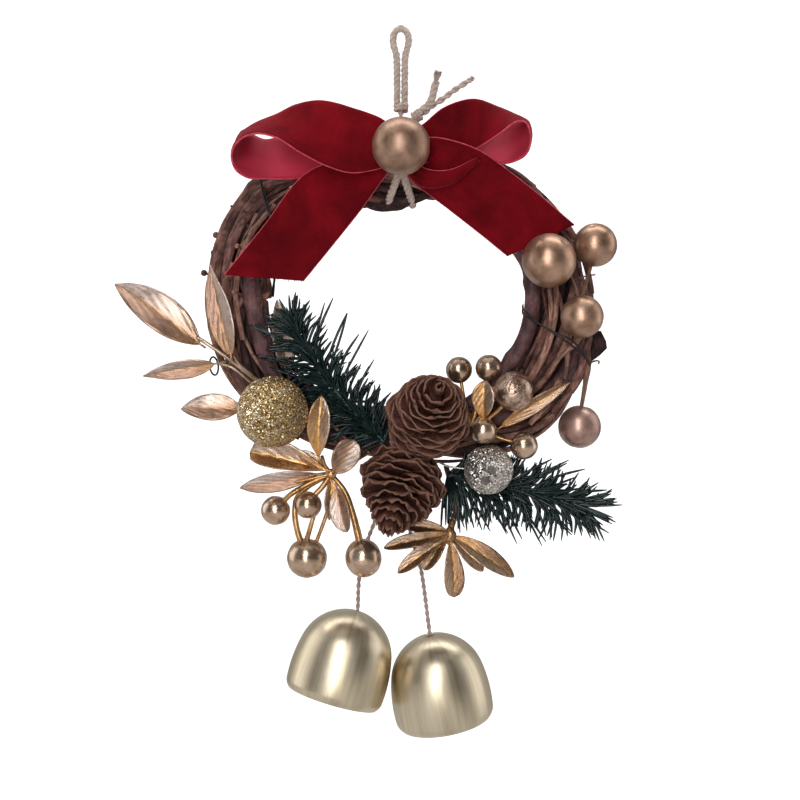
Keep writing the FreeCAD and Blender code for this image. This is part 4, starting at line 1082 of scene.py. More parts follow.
def evened(control, count):
    """A curve of count points, with the same number between each pair of control points."""
    spans = len(control) - 1
    dense = spline(control, 0.25)
    nearest = []
    j = 0
    for point in control:
        j = min(range(j, len(dense)), key=lambda k: (dense[k] - Vector(point)).length)
        nearest.append(j)
    path = []
    for k in range(count):
        t = k / (count - 1) * spans
        i = min(spans - 1, int(t))
        spot = nearest[i] + (nearest[i + 1] - nearest[i]) * (t - i)
        low = int(spot)
        path.append(dense[low].lerp(dense[min(len(dense) - 1, low + 1)], spot - low))
    return path


def ribbon(part, first_edge, second_edge, flip, crown, wrinkle, seed, across=15,
           pleats=lambda t: 0.0):
    """Velvet ribbon between two selvages, given as matching rows of control points."""
    count = max(len(spline(first_edge, 0.9)), len(spline(second_edge, 0.9)))
    first, second = evened(first_edge, count), evened(second_edge, count)
    rows = []
    for i in range(count):
        width = second[i] - first[i]
        low, high = max(0, i - 1), min(count - 1, i + 1)
        tangent = (first[high] - first[low] + second[high] - second[low]).normalized()
        normal = tangent.cross(width).normalized()
        if flip:
            normal = -normal
        row = []
        for j in range(across):
            v = j / (across - 1)
            bend = crown * 4 * v * (1 - v)
            pleat = pleats(i / (count - 1)) * 0.8 * sin(v * pi * 5 + seed) * sin(pi * v)
            crease = wrinkle * noise_at(i * 0.05, v * 1.6, seed)
            row.append(first[i] + width * v + normal * (bend + pleat + crease))
        rows.append(row)
    sheet(part, rows, 0.75, flip=flip)
    for j in (0, -1):
        tube(part, [row[j] for row in rows],
             lambda i, s: 0.34 * (1 + 0.16 * noise_at(s * 1.7, seed, 2)), 7, slot=2)
    return rows


# Loops of the bow: lower selvage, then upper selvage, from the pinch round the front and back.
LEFT_LOOP = (
    [(-3.29, -21, -52.47), (-9.14, -25, -55.17), (-17.86, -28.5, -56.87), (-26.54, -30.5, -54.75),
     (-36.65, -32, -49.85), (-45.33, -32.5, -44.65), (-52.59, -32.5, -43.2), (-58.07, -32, -45.31),
     (-61.39, -31.5, -50.51), (-60.34, -31, -56.26), (-56.5, -29, -58.76), (-49.56, -24, -58.35),
     (-37.1, -16.5, -57.29), (-22.65, -15.6, -54.39), (-9.25, -16.6, -50.8), (-3.3, -18, -49.5)],
    [(-2.92, -21.4, -41.46), (-6.22, -23.5, -37.34), (-17.93, -25.5, -32.87),
     (-29.32, -25, -30.04), (-38.34, -21, -30.89), (-46.48, -15, -33.86), (-53.85, -11, -35.87),
     (-58.09, -9.5, -37.9), (-60.38, -9, -39.33), (-59.25, -9, -40.27), (-55.84, -9.5, -40.53),
     (-50.51, -10.6, -42.37), (-37.65, -13, -39.53), (-22.68, -14.6, -39.38),
     (-7.76, -16.6, -41.15), (-3.3, -18, -42.09)])
RIGHT_LOOP = (
    [(2.98, -21, -52.47), (8.48, -24, -52.84), (18.05, -23.2, -50.54), (27.17, -25, -47.65),
     (35.43, -28.5, -42.82), (42.17, -31.5, -38.7), (45.48, -31, -39.17), (47.33, -30.5, -44.56),
     (45.55, -30, -50.31), (41.3, -28, -52.79), (35.34, -23, -53.08), (23.79, -16.5, -51.9),
     (10.81, -16, -50.73), (3.36, -18, -50.24)],
    [(2.98, -21.4, -41.46), (8.48, -23.5, -38.44), (15.8, -25, -32.79), (26.11, -24, -29.52),
     (35.62, -17.5, -31.08), (43.01, -12, -33.41), (46.5, -10, -35.73), (47.28, -9.5, -35.65),
     (45.03, -9.5, -35.28), (40.85, -10.5, -35.05), (35.16, -12, -36.02), (22.76, -14, -38.55),
     (10.81, -16, -41.07), (3.36, -18, -42.09)])
# Tails: upper selvage, then lower selvage, from the pinch to the cut end.
LEFT_TAIL = (
    [(-4.04, -19.4, -47.46), (-16.6, -19.6, -49.7), (-35.15, -18.4, -56.21),
     (-50.34, -18.2, -75.08), (-65.28, -16.9, -93.51)],
    [(-1.82, -19.8, -51.95), (-5.52, -19, -56.29), (-14.81, -17, -69.03), (-25.18, -17.6, -82.07),
     (-36.33, -16.9, -95.74)])
RIGHT_TAIL = (
    [(3.34, -22.5, -44.19), (13.57, -26.6, -44.02), (27.44, -27.4, -48.33),
     (37.52, -23.5, -54.25), (51.49, -18.6, -64.38), (64.25, -16.7, -74.94)],
    [(1.14, -20.5, -52.04), (3.35, -21, -58), (11.48, -20, -64.53), (22.61, -18.6, -72.9),
     (31.55, -17.4, -79.83), (39.74, -16.9, -86.46)])
# The fold at the right of the bead: lower edge, then upper edge.
RIGHT_FOLD = (
    [(1.5, -23.5, -56.09), (8.48, -24, -61.66), (18.72, -25.5, -60.36), (28.53, -27.6, -52.56)],
    [(2.59, -25.5, -51.93), (9.9, -27.2, -55.8), (17.92, -28, -55.9), (27.8, -27.6, -51.47)])

part = Part()
ribbon(part, *LEFT_LOOP, flip=True, crown=0.5, wrinkle=0.9, seed=3,
       pleats=gathered(1.2, 0.10, both_ends=True))
part.make("bow_left_loop_ribbon", RIBBON, "bow_left_loop")
part = Part()
ribbon(part, *RIGHT_LOOP, flip=False, crown=0.5, wrinkle=0.8, seed=8,
       pleats=gathered(1.2, 0.12, both_ends=True))
part.make("bow_right_loop_ribbon", RIBBON, "bow_right_loop")


def tail(node, edges, seed, flip):
    """A tail with a few loose threads at its cut end."""
    part = Part()
    rows = ribbon(part, *edges, flip=flip, crown=0.35, wrinkle=0.9, seed=seed,
                  pleats=gathered(1.5, 0.13))
    end = rows[-1]
    rng = random.Random(seed)
    for _ in range(34):
        v = rng.uniform(0, 1) * (len(end) - 1)
        j = min(len(end) - 2, int(v))
        root = end[j].lerp(end[j + 1], v - j)
        lead = (end[j] - rows[-3][j]).normalized()
        sway = Vector((rng.uniform(-0.4, 0.4), rng.uniform(-0.4, 0.1), rng.uniform(-0.4, 0.4)))
        tube(part, [root - lead * 0.3, root + lead * rng.uniform(0.3, 0.9) + sway * 0.4],
             0.07, 4, slot=2)
    part.make(node + "_ribbon", RIBBON, node)


tail("bow_left_tail", LEFT_TAIL, seed=5, flip=False)
tail("bow_right_tail", RIGHT_TAIL, seed=6, flip=True)

# The band round the pinch.
centre, half = node_box("bow_centre_wrap")
left_edge, right_edge = [], []
for i in range(13):
    angle = tau * i / 12
    y, z = half.y * 1.02 * cos(angle), half.z * sin(angle)
    left_edge.append(centre + Vector((-5.4 - 0.6 * sin(angle), y, z)))
    right_edge.append(centre + Vector((5.4 + 0.6 * sin(angle), y, z)))
part = Part()
ribbon(part, left_edge, right_edge, flip=False, crown=0.5, wrinkle=0.4, seed=12)
part.make("bow_centre_wrap_ribbon", RIBBON, "bow_centre_wrap")
part = Part()
ribbon(part, *RIGHT_FOLD, flip=False, across=11, crown=1.0, wrinkle=0.8, seed=21,
       pleats=gathered(1.3, 0.3))
part.make("bow_fold_right", RIBBON, "bow_right_tail", replaces=False)

# The bead, drilled along X.
BEAD_HOLE = 1.7
centre, half = node_box("bow_bead")
bead_radius = half.z
hole_angle = asin(BEAD_HOLE / bead_radius)
hole_depth = bead_radius * cos(hole_angle) - 0.35
profile = [(BEAD_HOLE, -hole_depth)]
for i in range(49):
    angle = hole_angle + 0.04 + (pi - 2 * hole_angle - 0.08) * i / 48
    profile.append((bead_radius * sin(angle), -bead_radius * cos(angle)))
profile.append((BEAD_HOLE, hole_depth))
part = Part()
lathe(part, profile, centre, (1, 0, 0))
part.make("bow_bead_gold", ["bead"], "bow_bead")

# ------------------------------------------------------------------ large berries, glitter balls
BERRY_POLES = [(-0.55, 0.55, -0.62), (0.2, 0.5, -0.84), (0.5, 0.5, -0.7), (0.2, -0.05, 0.97)]
for number, pole in enumerate(BERRY_POLES, 1):
    name = "large_berry_%d" % number
    centre, half = node_box(name)
    part = Part()
    orb(part, centre, max(half), pole, dimple=0.07, lump=0.008, seed=number * 3.1)
    part.make(name + "_gold", ["berry_rose" if number == 4 else "berry"], name)


def glitter_ball(node, material, seed, pole, spots=()):
    """A flat-shaded ball with a fine random relief; spots are (direction, angle, depth)."""
    centre, half = node_box(node)
    radius = max(half)
    ball = bmesh.new()
    bmesh.ops.create_icosphere(ball, subdivisions=6, radius=1.0)
    rng = random.Random(seed)
    for vertex in ball.verts:
        unit = vertex.co.normalized()
        reach = radius * (1 + 0.010 * rng.uniform(-1, 1) + 0.006 * noise_at(*(unit * 9)))
        reach -= radius * 0.08 * hump(angle_between(unit, pole), 0.12)
        for direction, size, depth in spots:
            reach -= radius * depth * hump(angle_between(unit, direction), size, power=4)
        vertex.co = (centre + unit * reach) * MM
    mesh = bpy.data.meshes.new(node + "_coat")
    ball.to_mesh(mesh)
    ball.free()
    mesh.materials.append(MATERIALS[material])
    mesh.materials.append(MATERIALS["spot"])
    for face in mesh.polygons:
        unit = (face.center / MM - centre).normalized()
        for direction, size, _ in spots:
            ragged = size * (1.0 + 0.15 * noise_at(*(unit * 14)))
            if angle_between(unit, direction) < ragged:
                face.material_index = 1
    place(node + "_coat", mesh, node)


glitter_ball("gold_glitter_ball", "glit_gold", 5, (0.6, 0.7, 0.2))
glitter_ball("silver_glitter_ball", "glit_silver", 6, (-0.98, 0.1, 0.05),
             [((0.10, -0.99, 0.0), 0.19, 0.05), ((-0.18, -0.88, -0.42), 0.20, 0.05)])


# ------------------------------------------------------------------ leaves
def leaf(part, base, tip, face, width, fold, curl, twist, powers, stalk=2.0, slots=(0, 0, 0),
         cup=0.0):
    """A folded, curled leaf with a midrib and a short stalk, its face towards `face`."""
    rows_along, across = 30, 13
    base, tip = Vector(base), Vector(tip)
    length = (tip - base).length
    ahead = (tip - base).normalized()
    normal = square_to(face, ahead)
    side = normal.cross(ahead)
    root_power, tip_power = powers
    peak = root_power / (root_power + tip_power)
    widest = (peak ** root_power) * ((1 - peak) ** tip_power)
    rows, midrib = [], []
    for i in range(rows_along + 1):
        t = i / rows_along
        reach = max((t ** root_power) * ((1 - t) ** tip_power) / widest * width / 2, 0.05)
        angle = twist * (t - 0.3)
        outward = side * cos(angle) + normal * sin(angle)
        facing = normal * cos(angle) - side * sin(angle)
        middle = base + ahead * (length * t) + normal * (curl * length * (4 * t * (1 - t)) * 0.5)
        row = []
        for j in range(across):
            s = j / (across - 1) * 2 - 1
            lift = fold * abs(s) * reach + cup * (s * s) * reach
            ruffle = 0.05 * width * noise_at(t * 5, s * 2, length)
            row.append(middle + outward * (s * reach) + facing * (lift + ruffle * abs(s)))
        rows.append(row)
        midrib.append(middle - facing * 0.10)
    sheet(part, rows, 0.36, slots, unit_uv=True)
    tube(part, [base - ahead * stalk] + midrib[:int(rows_along * 0.9)],
         lambda i, s: max(0.10, 0.45 * (1 - 0.8 * s / (length + stalk))), 6, slot=slots[0])


def moulded(part, stems, first_seed, slot=0):
    """Moulded stems, slightly flat and uneven: rows of (root radius, end radius, points)."""
    for seed, (root, end, points) in enumerate(stems, first_seed):
        path = spline(points, 0.6)
        last = len(path) - 1
        tube(part, path, lambda i, s: root + (end - root) * i / last, 10, slot=slot,
             shape=lambda s, a: ((1 - 0.20 * abs(sin(a)))
                                 * (1 + 0.10 * noise_at(s * 0.4, cos(a) * 1.6, seed))))


SPRAY_STEMS = [
    (0.85, 1.15, [(-75.57, -17.8, -116.55), (-69.97, -18.2, -120.27), (-62.62, -17.6, -125.44),
                  (-55.41, -15, -131.34), (-49.73, -11, -136.16)]),
    (0.5, 0.85, [(-67.63, -15.6, -126.52), (-63.08, -16.6, -127.65), (-57.61, -15.4, -131.72),
                 (-51.91, -12, -136.91)]),
    (0.5, 0.75, [(-62.13, -19, -123.25), (-59.97, -18.2, -126.57), (-55.67, -16.4, -130.25),
                 (-50.37, -12.6, -135.42)])]
part = Part()
moulded(part, SPRAY_STEMS, 51)
part.make("spray_stem_coated", ["stem_pale"], "spray_stem")

# Leaf rows: base, tip, face direction, then width, fold, curl, twist, (root, tip) outline
# powers, and where they differ from leaf()'s own: stalk, (face, back, edge) slots, cup.
LEAVES = {
    "spray_leaves": (["leaf_rose"], [
        ((-74.5, -17.4, -119.13), (-106.68, -13, -96.62), (0.15, -1, 0.3),
         14.6, 0.26, 0.12, 0.25, (0.78, 0.9), 2.5),
        ((-69.57, -14.8, -126.5), (-96.02, -14.6, -130.96), (0.1, -1, -0.35),
         7.4, 0.5, -0.08, 0.2, (0.7, 1.0), 4.5),
        ((-62.85, -19.2, -123.63), (-70.53, -20, -90.03), (-0.3, -1, 0.1),
         10.0, 0.40, 0.05, -0.2, (0.75, 1.0)),
        ((-59.92, -10, -142.9), (-82.52, -9, -143.28), (0.0, -1, 0.25),
         10.6, 0.26, 0.10, 0.25, (0.72, 0.85))]),
    "pale_leaf": (["leaf_pale"], [
        ((-42.33, -9.6, -130.53), (-46.44, -9.8, -102.42), (0.25, -1, 0),
         8.4, 0.30, 0.05, 0.1, (0.75, 0.85), 1.0)]),
    "left_cluster_leaves": (["leaf_rose", "leaf_gold"], [
        ((-30.42, -16.4, -160.7), (-29.54, -19.6, -138.42), (-0.20, -1, 0),
         8.6, 0.50, 0.12, 0.4, (0.85, 0.70), 3.0, (1, 0, 0)),
        ((-27.56, -13.6, -166), (-56.44, -11.4, -159.72), (0, -1, 0.35),
         11.4, 0.55, 0.05, 0.15, (1.0, 0.42), 3.0, (1, 0, 0), 0.30),
        ((-31.04, -10.6, -167.61), (-60.41, -8.6, -172.94), (0, -1, -0.2),
         7.4, 0.25, 0.05, 0.2, (0.9, 0.8), 5.0),
        ((-24.11, -16.4, -167.01), (-17.71, -19.8, -154.68), (0.25, -1, 0),
         10.2, 0.06, 0.12, 0.0, (0.62, 0.42), 2.5, (0, 0, 0), 0.12),
        ((-23.83, -13.4, -172.72), (-20.07, -14.5, -189.05), (-0.4, -1, -0.1),
         8.2, 0.45, 0.10, 0.2, (0.7, 0.55), 5.0),
        ((-26.11, -12.4, -169.03), (-26.85, -12.6, -184.7), (0.3, -1, 0.0),
         5.0, 0.6, 0.06, 0.2, (0.9, 0.9), 3.0, (1, 1, 0)),
        ((-27.99, -12, -166.06), (-39.16, -12.8, -159.31), (0.3, -1, 0.3),
         5.4, 0.5, 0.08, 0.2, (0.9, 0.8), 3.0, (1, 1, 0))]),
    "right_cluster_leaves": (["leaf_gold", "leaf_bronze"], [
        ((30.91, -15, -146.97), (30.83, -17, -132.85), (-0.3, -1, 0.2),
         8.6, 0.35, 0.08, 0.2, (0.8, 0.6)),
        ((37.41, -11.9, -149.99), (62.88, -15.4, -133.21), (0.1, -1, 0.1),
         5.4, 0.30, 0.06, 0.2, (0.7, 0.8), 2.0, (1, 1, 1))]),
    "low_cluster_leaves": (["leaf_bronze"], [
        ((18.06, -8.5, -190.22), (-6.34, -9.5, -195.4), (0, -1, 0.3),
         5.6, 0.5, 0.12, 0.2, (0.8, 0.6)),
        ((17.72, -7.2, -191.06), (-1.09, -9, -204.82), (-0.2, -1, 0.2),
         6.0, 0.45, 0.10, 0.2, (0.85, 0.6)),
        ((17.75, -6, -189.27), (1.92, -5.5, -187.41), (0, -1, 0.4),
         5.4, 0.45, 0.10, 0.1, (0.8, 0.5)),
        ((17.32, -8, -191.38), (8.67, -8.5, -203.74), (-0.3, -1, 0.1),
         5.8, 0.5, 0.08, 0.1, (0.8, 0.5)),
        ((18.42, -9.2, -192.42), (19.89, -10, -213.72), (0.35, -1, 0),
         8.0, 0.40, 0.06, 0.1, (0.9, 0.45)),
        ((19.57, -8.2, -190.99), (42.46, -8.6, -206.36), (0.2, -1, 0.3),
         7.6, 0.45, 0.08, 0.2, (0.8, 0.75)),
        ((19.24, -6.6, -191.86), (30.93, -6.2, -204.32), (0.3, -1, 0.1),
         5.6, 0.45, 0.08, 0.1, (0.8, 0.6))]),
}
for node, (materials, rows) in LEAVES.items():
    part = Part()
    for row in rows:
        leaf(part, *row)
    if node == "low_cluster_leaves":
        # The stub and lump the low leaves spring from.
        moulded(part, [(1.7, 1.5, [(19.67, -4.6, -185.21), (18.48, -7, -189.57),
                                   (18.81, -8.4, -192.85)])], 31)
        orb(part, (18.45, -7.8, -191.02), 2.3, (0, 0, 1), 0, 22, 14, lump=0.18, seed=8,
            stretch=1.5)
    part.make(node + "_coated", materials, node)

# ------------------------------------------------------------------ small polished berries
# (place near the CAD berry, pole, slot, groove normal, stretch along the pole)
SMALL_BERRIES = {
    "left_cluster_berries": [
        ((-46.96, -10, -181.27), (0.8, 0, 0.6), 0, (0.5, -0.2, 0.8), 1.0),
        ((-34.62, -14, -179.02), (0.55, 0, 0.8), 0, (0.3, -0.3, 0.9), 1.0),
        ((-35.16, -10.5, -199.06), (0.2, 0.1, 1), 0, (0.62, -0.35, 0.7), 1.0),
        ((-14.03, -11.5, -198.98), (-0.2, 0, 1), 0, (0.1, -0.2, 1), 1.08)],
    "right_cluster_berries": [
        ((21.72, -11.5, -128.68), (0.7, 0, -0.7), 0, (0.2, -0.3, 0.9), 1.0),
        ((32.73, -13.5, -127.97), (0.1, 0, -1), 0, (0.9, -0.3, 0.2), 1.0),
        ((41.66, -18.9, -136.57), (-0.8, 0.3, -0.5), 1, (0.5, -0.5, 0.7), 1.0),
        ((30.7, -16.4, -151.34), (0.1, 0, 1), 0, (0.1, -0.3, 1), 1.0),
        ((45.96, -12.6, -156.92), (-0.7, 0, 0.7), 0, (0.1, -0.2, 1), 1.0)],
}
for node, berries in SMALL_BERRIES.items():
    solids = loose_parts(node)
    part = Part()
    for spot, pole, slot, groove, stretch in berries:
        centre, half = min(solids, key=lambda solid: (solid[0] - Vector(spot)).length)
        orb(part, centre, max(half), pole, slot, 40, 26, dimple=0.14, groove=groove, lump=0.02,
            seed=spot[0], stretch=stretch)
    part.make(node + "_polished", ["shiny", "cracked"], node)

LEFT_CLUSTER_STEMS = [
    (1.3, 1.5, [(-12.4, -6, -159.5), (-19.1, -9, -163.54), (-26.12, -12.2, -167.54)]),
    (1.2, 1.3, [(-26.12, -12.2, -167.54), (-34.72, -12, -171.29), (-41.49, -11.2, -175.44),
                (-44.53, -10.4, -178.47)]),
    (1.3, 1.3, [(-26.12, -12.2, -167.54), (-29.07, -13, -171.99), (-32.78, -13.6, -176.06)]),
    (0.9, 0.7, [(-26.09, -12.8, -167.52), (-32.45, -12.6, -169.02), (-39.21, -11.8, -170.55)]),
    (1.1, 1.5, [(-26.14, -11.6, -167.57), (-34.82, -9.8, -172.51), (-38.98, -9.2, -176.66),
                (-39.65, -10.6, -183.33), (-38.51, -11, -189.67), (-36.66, -10.6, -194.94)]),
    (0.9, 1.3, [(-31.05, -10.4, -176.6), (-32.82, -12.6, -183.96), (-34.34, -12, -189.22),
                (-35.9, -10.8, -194.55)]),
    (1.0, 0.9, [(-26.12, -12.2, -167.54), (-27.26, -11.5, -180.28), (-31.81, -10.2, -193.47)]),
    (1.1, 1.9, [(-26.09, -12.8, -167.52), (-20.86, -13, -174.23), (-17.89, -12.6, -182.84),
                (-14.92, -11.8, -194.84)]),
    (1.2, 0.8, [(-26.12, -12, -167.55), (-28.34, -12.6, -164.54), (-29.4, -14, -160.77)]),
    (1.0, 0.8, [(-26.09, -13, -167.51), (-24.92, -14.4, -165.97), (-23.4, -15.4, -163.7)])]
RIGHT_CLUSTER_STEMS = [
    (1.2, 1.3, [(26.79, -6, -153.47), (27.01, -10, -151.14), (26.9, -13, -148.86)]),
    (0.9, 0.8, [(26.16, -12.8, -149.6), (23.92, -12.8, -141.02), (22.45, -12, -132.8)]),
    (1.0, 1.5, [(26.15, -13, -149.6), (28.72, -14, -141.39), (32.09, -13.8, -132.45)]),
    (0.9, 1.0, [(27.26, -13.4, -149.97), (32.03, -15, -141.39), (34.62, -15.4, -134.69)]),
    (0.9, 1.0, [(27.99, -13.6, -150.34), (34.59, -16, -145.1), (38.93, -18, -141.01)]),
    (0.8, 0.8, [(31.05, -12, -151.11), (37.01, -12.4, -154.09), (42.22, -12.6, -155.58)])]
part = Part()
moulded(part, LEFT_CLUSTER_STEMS, 0)
orb(part, (-26.11, -12.4, -167.54), 2.0, (0, 1, 0), 0, 18, 12, lump=0.16, seed=4)
part.make("left_cluster_stems_moulded", ["stem_gold"], "left_cluster_stems")
part = Part()
moulded(part, RIGHT_CLUSTER_STEMS, 20)
part.make("right_cluster_stems_moulded", ["stem_gold"], "right_cluster_stems")


# ------------------------------------------------------------------ evergreen sprigs
def needle(part, root, tip, radius, bend):
    path = spline([root, root.lerp(tip, 0.5) + bend, tip], (tip - root).length / 9)
    last = len(path) - 1

    def radius_at(i, s):
        blunt = {last - 1: 0.85, last: 0.42}.get(i, 1.0)
        return radius * (0.86 + 0.14 * sin(pi * i / last)) * blunt

    tube(part, path, radius_at, 6, shape=lambda s, a: 1 - 0.24 * abs(sin(a)))


def sprig(node, stem, tips, count, length, seed, depth, lean, upper, end):
    """Needles along a stem: a pair to each named tip, then count random ones.

    depth scales their spread in Y and lean their slant along the stem; upper scales
    the upward ones and end those at the far end of the stem.
    """
    part = Part()
    rng = random.Random(seed)
    line = resample(spline(stem, 1.0), 80)
    axes = frames(line)
    tube(part, line, lambda i, s: 0.95 - 0.006 * i, 8)
    for x, y, z, along in tips:
        tip = Vector((x, y, z))
        i = int(along * 79)
        needle(part, line[i], tip, 0.74,
               Vector((rng.uniform(-1.6, 1.6), -0.6, rng.uniform(-1.6, 1.6))))
        stray = Vector((rng.uniform(-3.5, 3.5), rng.uniform(-1.5, 1.5), rng.uniform(-3.5, 3.5)))
        needle(part, line[max(0, i - 2)], tip + stray, 0.68,
               Vector((rng.uniform(-1.6, 1.6), -0.4, rng.uniform(-1.6, 1.6))))
    for k in range(count):
        along = (k + rng.uniform(0, 1)) / count
        i = min(79, int(along * 80))
        tangent = axes[i][0]
        flat = tangent.cross(UP_Y).normalized()
        back = rng.uniform(-0.55, 0.30)
        front = k % 3 == 0
        side = rng.uniform(0.05, 0.55) if front else rng.uniform(0.45, 1.10)
        ahead = lean + rng.uniform(-0.20, 0.40)
        if along > 0.75:
            ahead += 0.55 * (along - 0.75) / 0.25
        if front:
            ahead += 0.25
            back = -0.62
        way = (tangent * ahead + flat * (1 if k % 2 else -1) * side
               + UP_Y * (back * depth)).normalized()
        size = length * rng.uniform(0.66, 1.0) * (1.0 + (end - 1.0) * along)
        if way.z > 0.25:
            size *= upper
        radius = rng.uniform(0.58, 0.80)
        bend = tangent * rng.uniform(0.4, 2.2) + Vector((0, rng.uniform(-0.6, 0.6), 0))
        needle(part, line[i], line[i] + way * size, radius, bend)
    part.make(node + "_needles", ["needle"], node)


# Needle tips: x, y, z, and how far along the stem the needle starts.
LEFT_TIPS = [
    (-57.07, -17.4, -111.72, 0.80), (-55.22, -17.4, -122.84, 0.64), (-48.96, -16.8, -127.65, 0.56),
    (-25.29, -14.5, -101.92, 0.72), (-20.09, -14, -107.48, 0.62), (-15.63, -13.5, -115.29, 0.50),
    (-11.9, -13.5, -127.22, 0.34), (-7.8, -13.5, -133.93, 0.2), (-51.61, -16, -106.83, 0.86),
    (-45.36, -15, -102.32, 0.94), (-40.55, -14.5, -102.67, 0.95), (-36.09, -14.5, -104.15, 0.92)]
RIGHT_TIPS = [
    (57.34, -1, -162.29, 0.42), (63.03, -1, -163.81, 0.52), (69.96, 0, -166.12, 0.62),
    (78.32, 0, -174.1, 0.84), (17.75, -6, -186.63, 0.01), (19.98, -7, -189.2, 0.03),
    (22.27, -6, -190.02, 0.05), (24.94, -5, -189.33, 0.08), (16.24, -6, -180.6, 0.0),
    (27.66, -3, -188.34, 0.1), (20.73, -7, -185.06, 0.02), (23.4, -6, -185.12, 0.04),
    (81.74, 0, -179.8, 0.95), (80.22, 0, -187.02, 0.8), (72.9, -1, -189.99, 0.72),
    (65.02, 0, -191.2, 0.58), (55.22, 1, -193.93, 0.42), (46.02, 0, -192.72, 0.28),
    (40.76, 1, -190.51, 0.18), (30.86, 1, -189.37, 0.06)]
sprig("pine_sprig_left",
      [(-6.31, -13, -155.57), (-19, -12.9, -142.89), (-30.18, -13.2, -128.71),
       (-36.84, -14.4, -118.3), (-40.16, -14.8, -111.61)],
      LEFT_TIPS, count=205, length=20.5, seed=11, depth=0.55, lean=0.30, upper=0.88, end=0.72)
sprig("pine_sprig_right",
      [(17.89, -0.5, -168), (39.56, 0, -172.58), (56.66, 0, -176.76), (69.58, 0, -180.18)],
      RIGHT_TIPS, count=240, length=20.0, seed=12, depth=0.35, lean=0.28, upper=0.80, end=0.84)


# ------------------------------------------------------------------ cones
def open_cone(node, middle, axis, radius, length, seed, tiers, wave, close, power):
    """An open cone: tiers of thin, wavy, overlapping scales round a spindle.

    wave is how wavy the rims are; close and power shape how it closes at the tip.
    """
    part = Part()
    rng = random.Random(seed)
    axis = Vector(axis).normalized()
    across = square_to((1, 0.2, 0), axis)
    aside = axis.cross(across)
    base = Vector(middle) - axis * (length / 2)
    # Spindle: (share of radius, share of length) between two points of radius 0.05.
    body = [(0.28, 0.03), (0.30, 0.3), (0.26, 0.6), (0.15, 0.85)]
    spindle = [(wide * radius, high * length) for wide, high in body]
    lathe(part, [(0.05, 0.0), *spindle, (0.05, 0.95 * length)], base, axis, 24, False)
    rows_out, points_across = 11, 17
    for k in range(tiers):
        t = k / (tiers - 1)
        # Barrel shaped, closing at the tip.
        tier_reach = radius * (0.72 + 0.30 * sin(pi * min(1, t * 1.25 + 0.12)))
        if t >= 0.55:
            tier_reach *= 1.0 - close * ((t - 0.55) / 0.45) ** power
        height = length * (0.05 + 0.74 * t)
        lift = length * (0.05 + 0.20 * t ** 1.5)
        count = 6 if t < 0.78 else (5 if t < 0.9 else (4 if t < 0.97 else 3))
        root = radius * 0.20 * (1 - 0.6 * t)
        for j in range(count):
            angle = tau * (j + 0.382 * k) / count + rng.uniform(-0.12, 0.12)
            outward = across * cos(angle) + aside * sin(angle)
            side = axis.cross(outward)
            reach = tier_reach * rng.uniform(0.92, 1.05)
            span = tau * reach / count * rng.uniform(0.92, 1.08)
            raised = 0.7 * (j % 2) + rng.uniform(-0.3, 0.3)
            phase = rng.uniform(0, 6.28)
            rows = []
            for i in range(rows_out):
                u = i / (rows_out - 1)
                out = root + (reach - root) * u
                width = span * (0.30 + 0.78 * u ** 0.8)
                if u >= 0.82:
                    width *= sqrt(max(0.05, 1 - ((u - 0.82) / 0.22) ** 2))
                rim = u ** 3 * wave
                lip = -0.05 * radius * max(0, u - 0.8) / 0.2 * (1 - t)
                row = []
                for q in range(points_across):
                    s = q / (points_across - 1) * 2 - 1
                    bow = -0.62 * reach * s * s * u * (span / reach / 2.0)
                    rise = (raised + lift * (u ** 1.6) + 0.05 * radius * s * s * u
                            + rim * 0.034 * radius * sin(3.1 * s * 2 + phase)
                            + rim * 0.070 * radius * noise_at(s * 2.1, phase, k))
                    row.append(base + axis * (height + rise + lip)
                               + outward * (out + bow * 0.55) + side * (s * width * 0.5))
                rows.append(row)
            sheet(part, rows, 0.52, (0, 0, 0), unit_uv=True)
    part.make(node + "_scales", ["scale"], node)


open_cone("cone_upper", (10.79, -28.6, -144.1), (0.17, -0.84, 0.51), radius=15.6, length=32.5,
          seed=4, tiers=14, wave=0.5, close=0.86, power=2.5)
open_cone("cone_lower", (-0.71, -21.6, -174.18), (-0.24, -0.56, -0.79), radius=16.2, length=31.0,
          seed=9, tiers=13, wave=1.0, close=0.82, power=1.9)

# ------------------------------------------------------------------ bells
joints = {joint["name"]: joint for joint in frame["record"]["behaviour"]["joints"]}


def arc(start, end, radius, side, steps):
    """Points on an arc between two (r, z) points; side is 1 or -1, the way it bulges."""
    dx, dz = end[0] - start[0], end[1] - start[1]
    chord = hypot(dx, dz)
    height = sqrt(max(0, radius * radius - chord * chord / 4))
    mid_x = (start[0] + end[0]) / 2 + dz / chord * height * side
    mid_z = (start[1] + end[1]) / 2 - dx / chord * height * side
    first = atan2(start[1] - mid_z, start[0] - mid_x)
    last = atan2(end[1] - mid_z, end[0] - mid_x)
    while last - first > pi:
        last -= tau
    while last - first < -pi:
        last += tau
    angles = [first + (last - first) * i / steps for i in range(steps + 1)]
    return [(mid_x + radius * cos(angle), mid_z + radius * sin(angle)) for angle in angles]


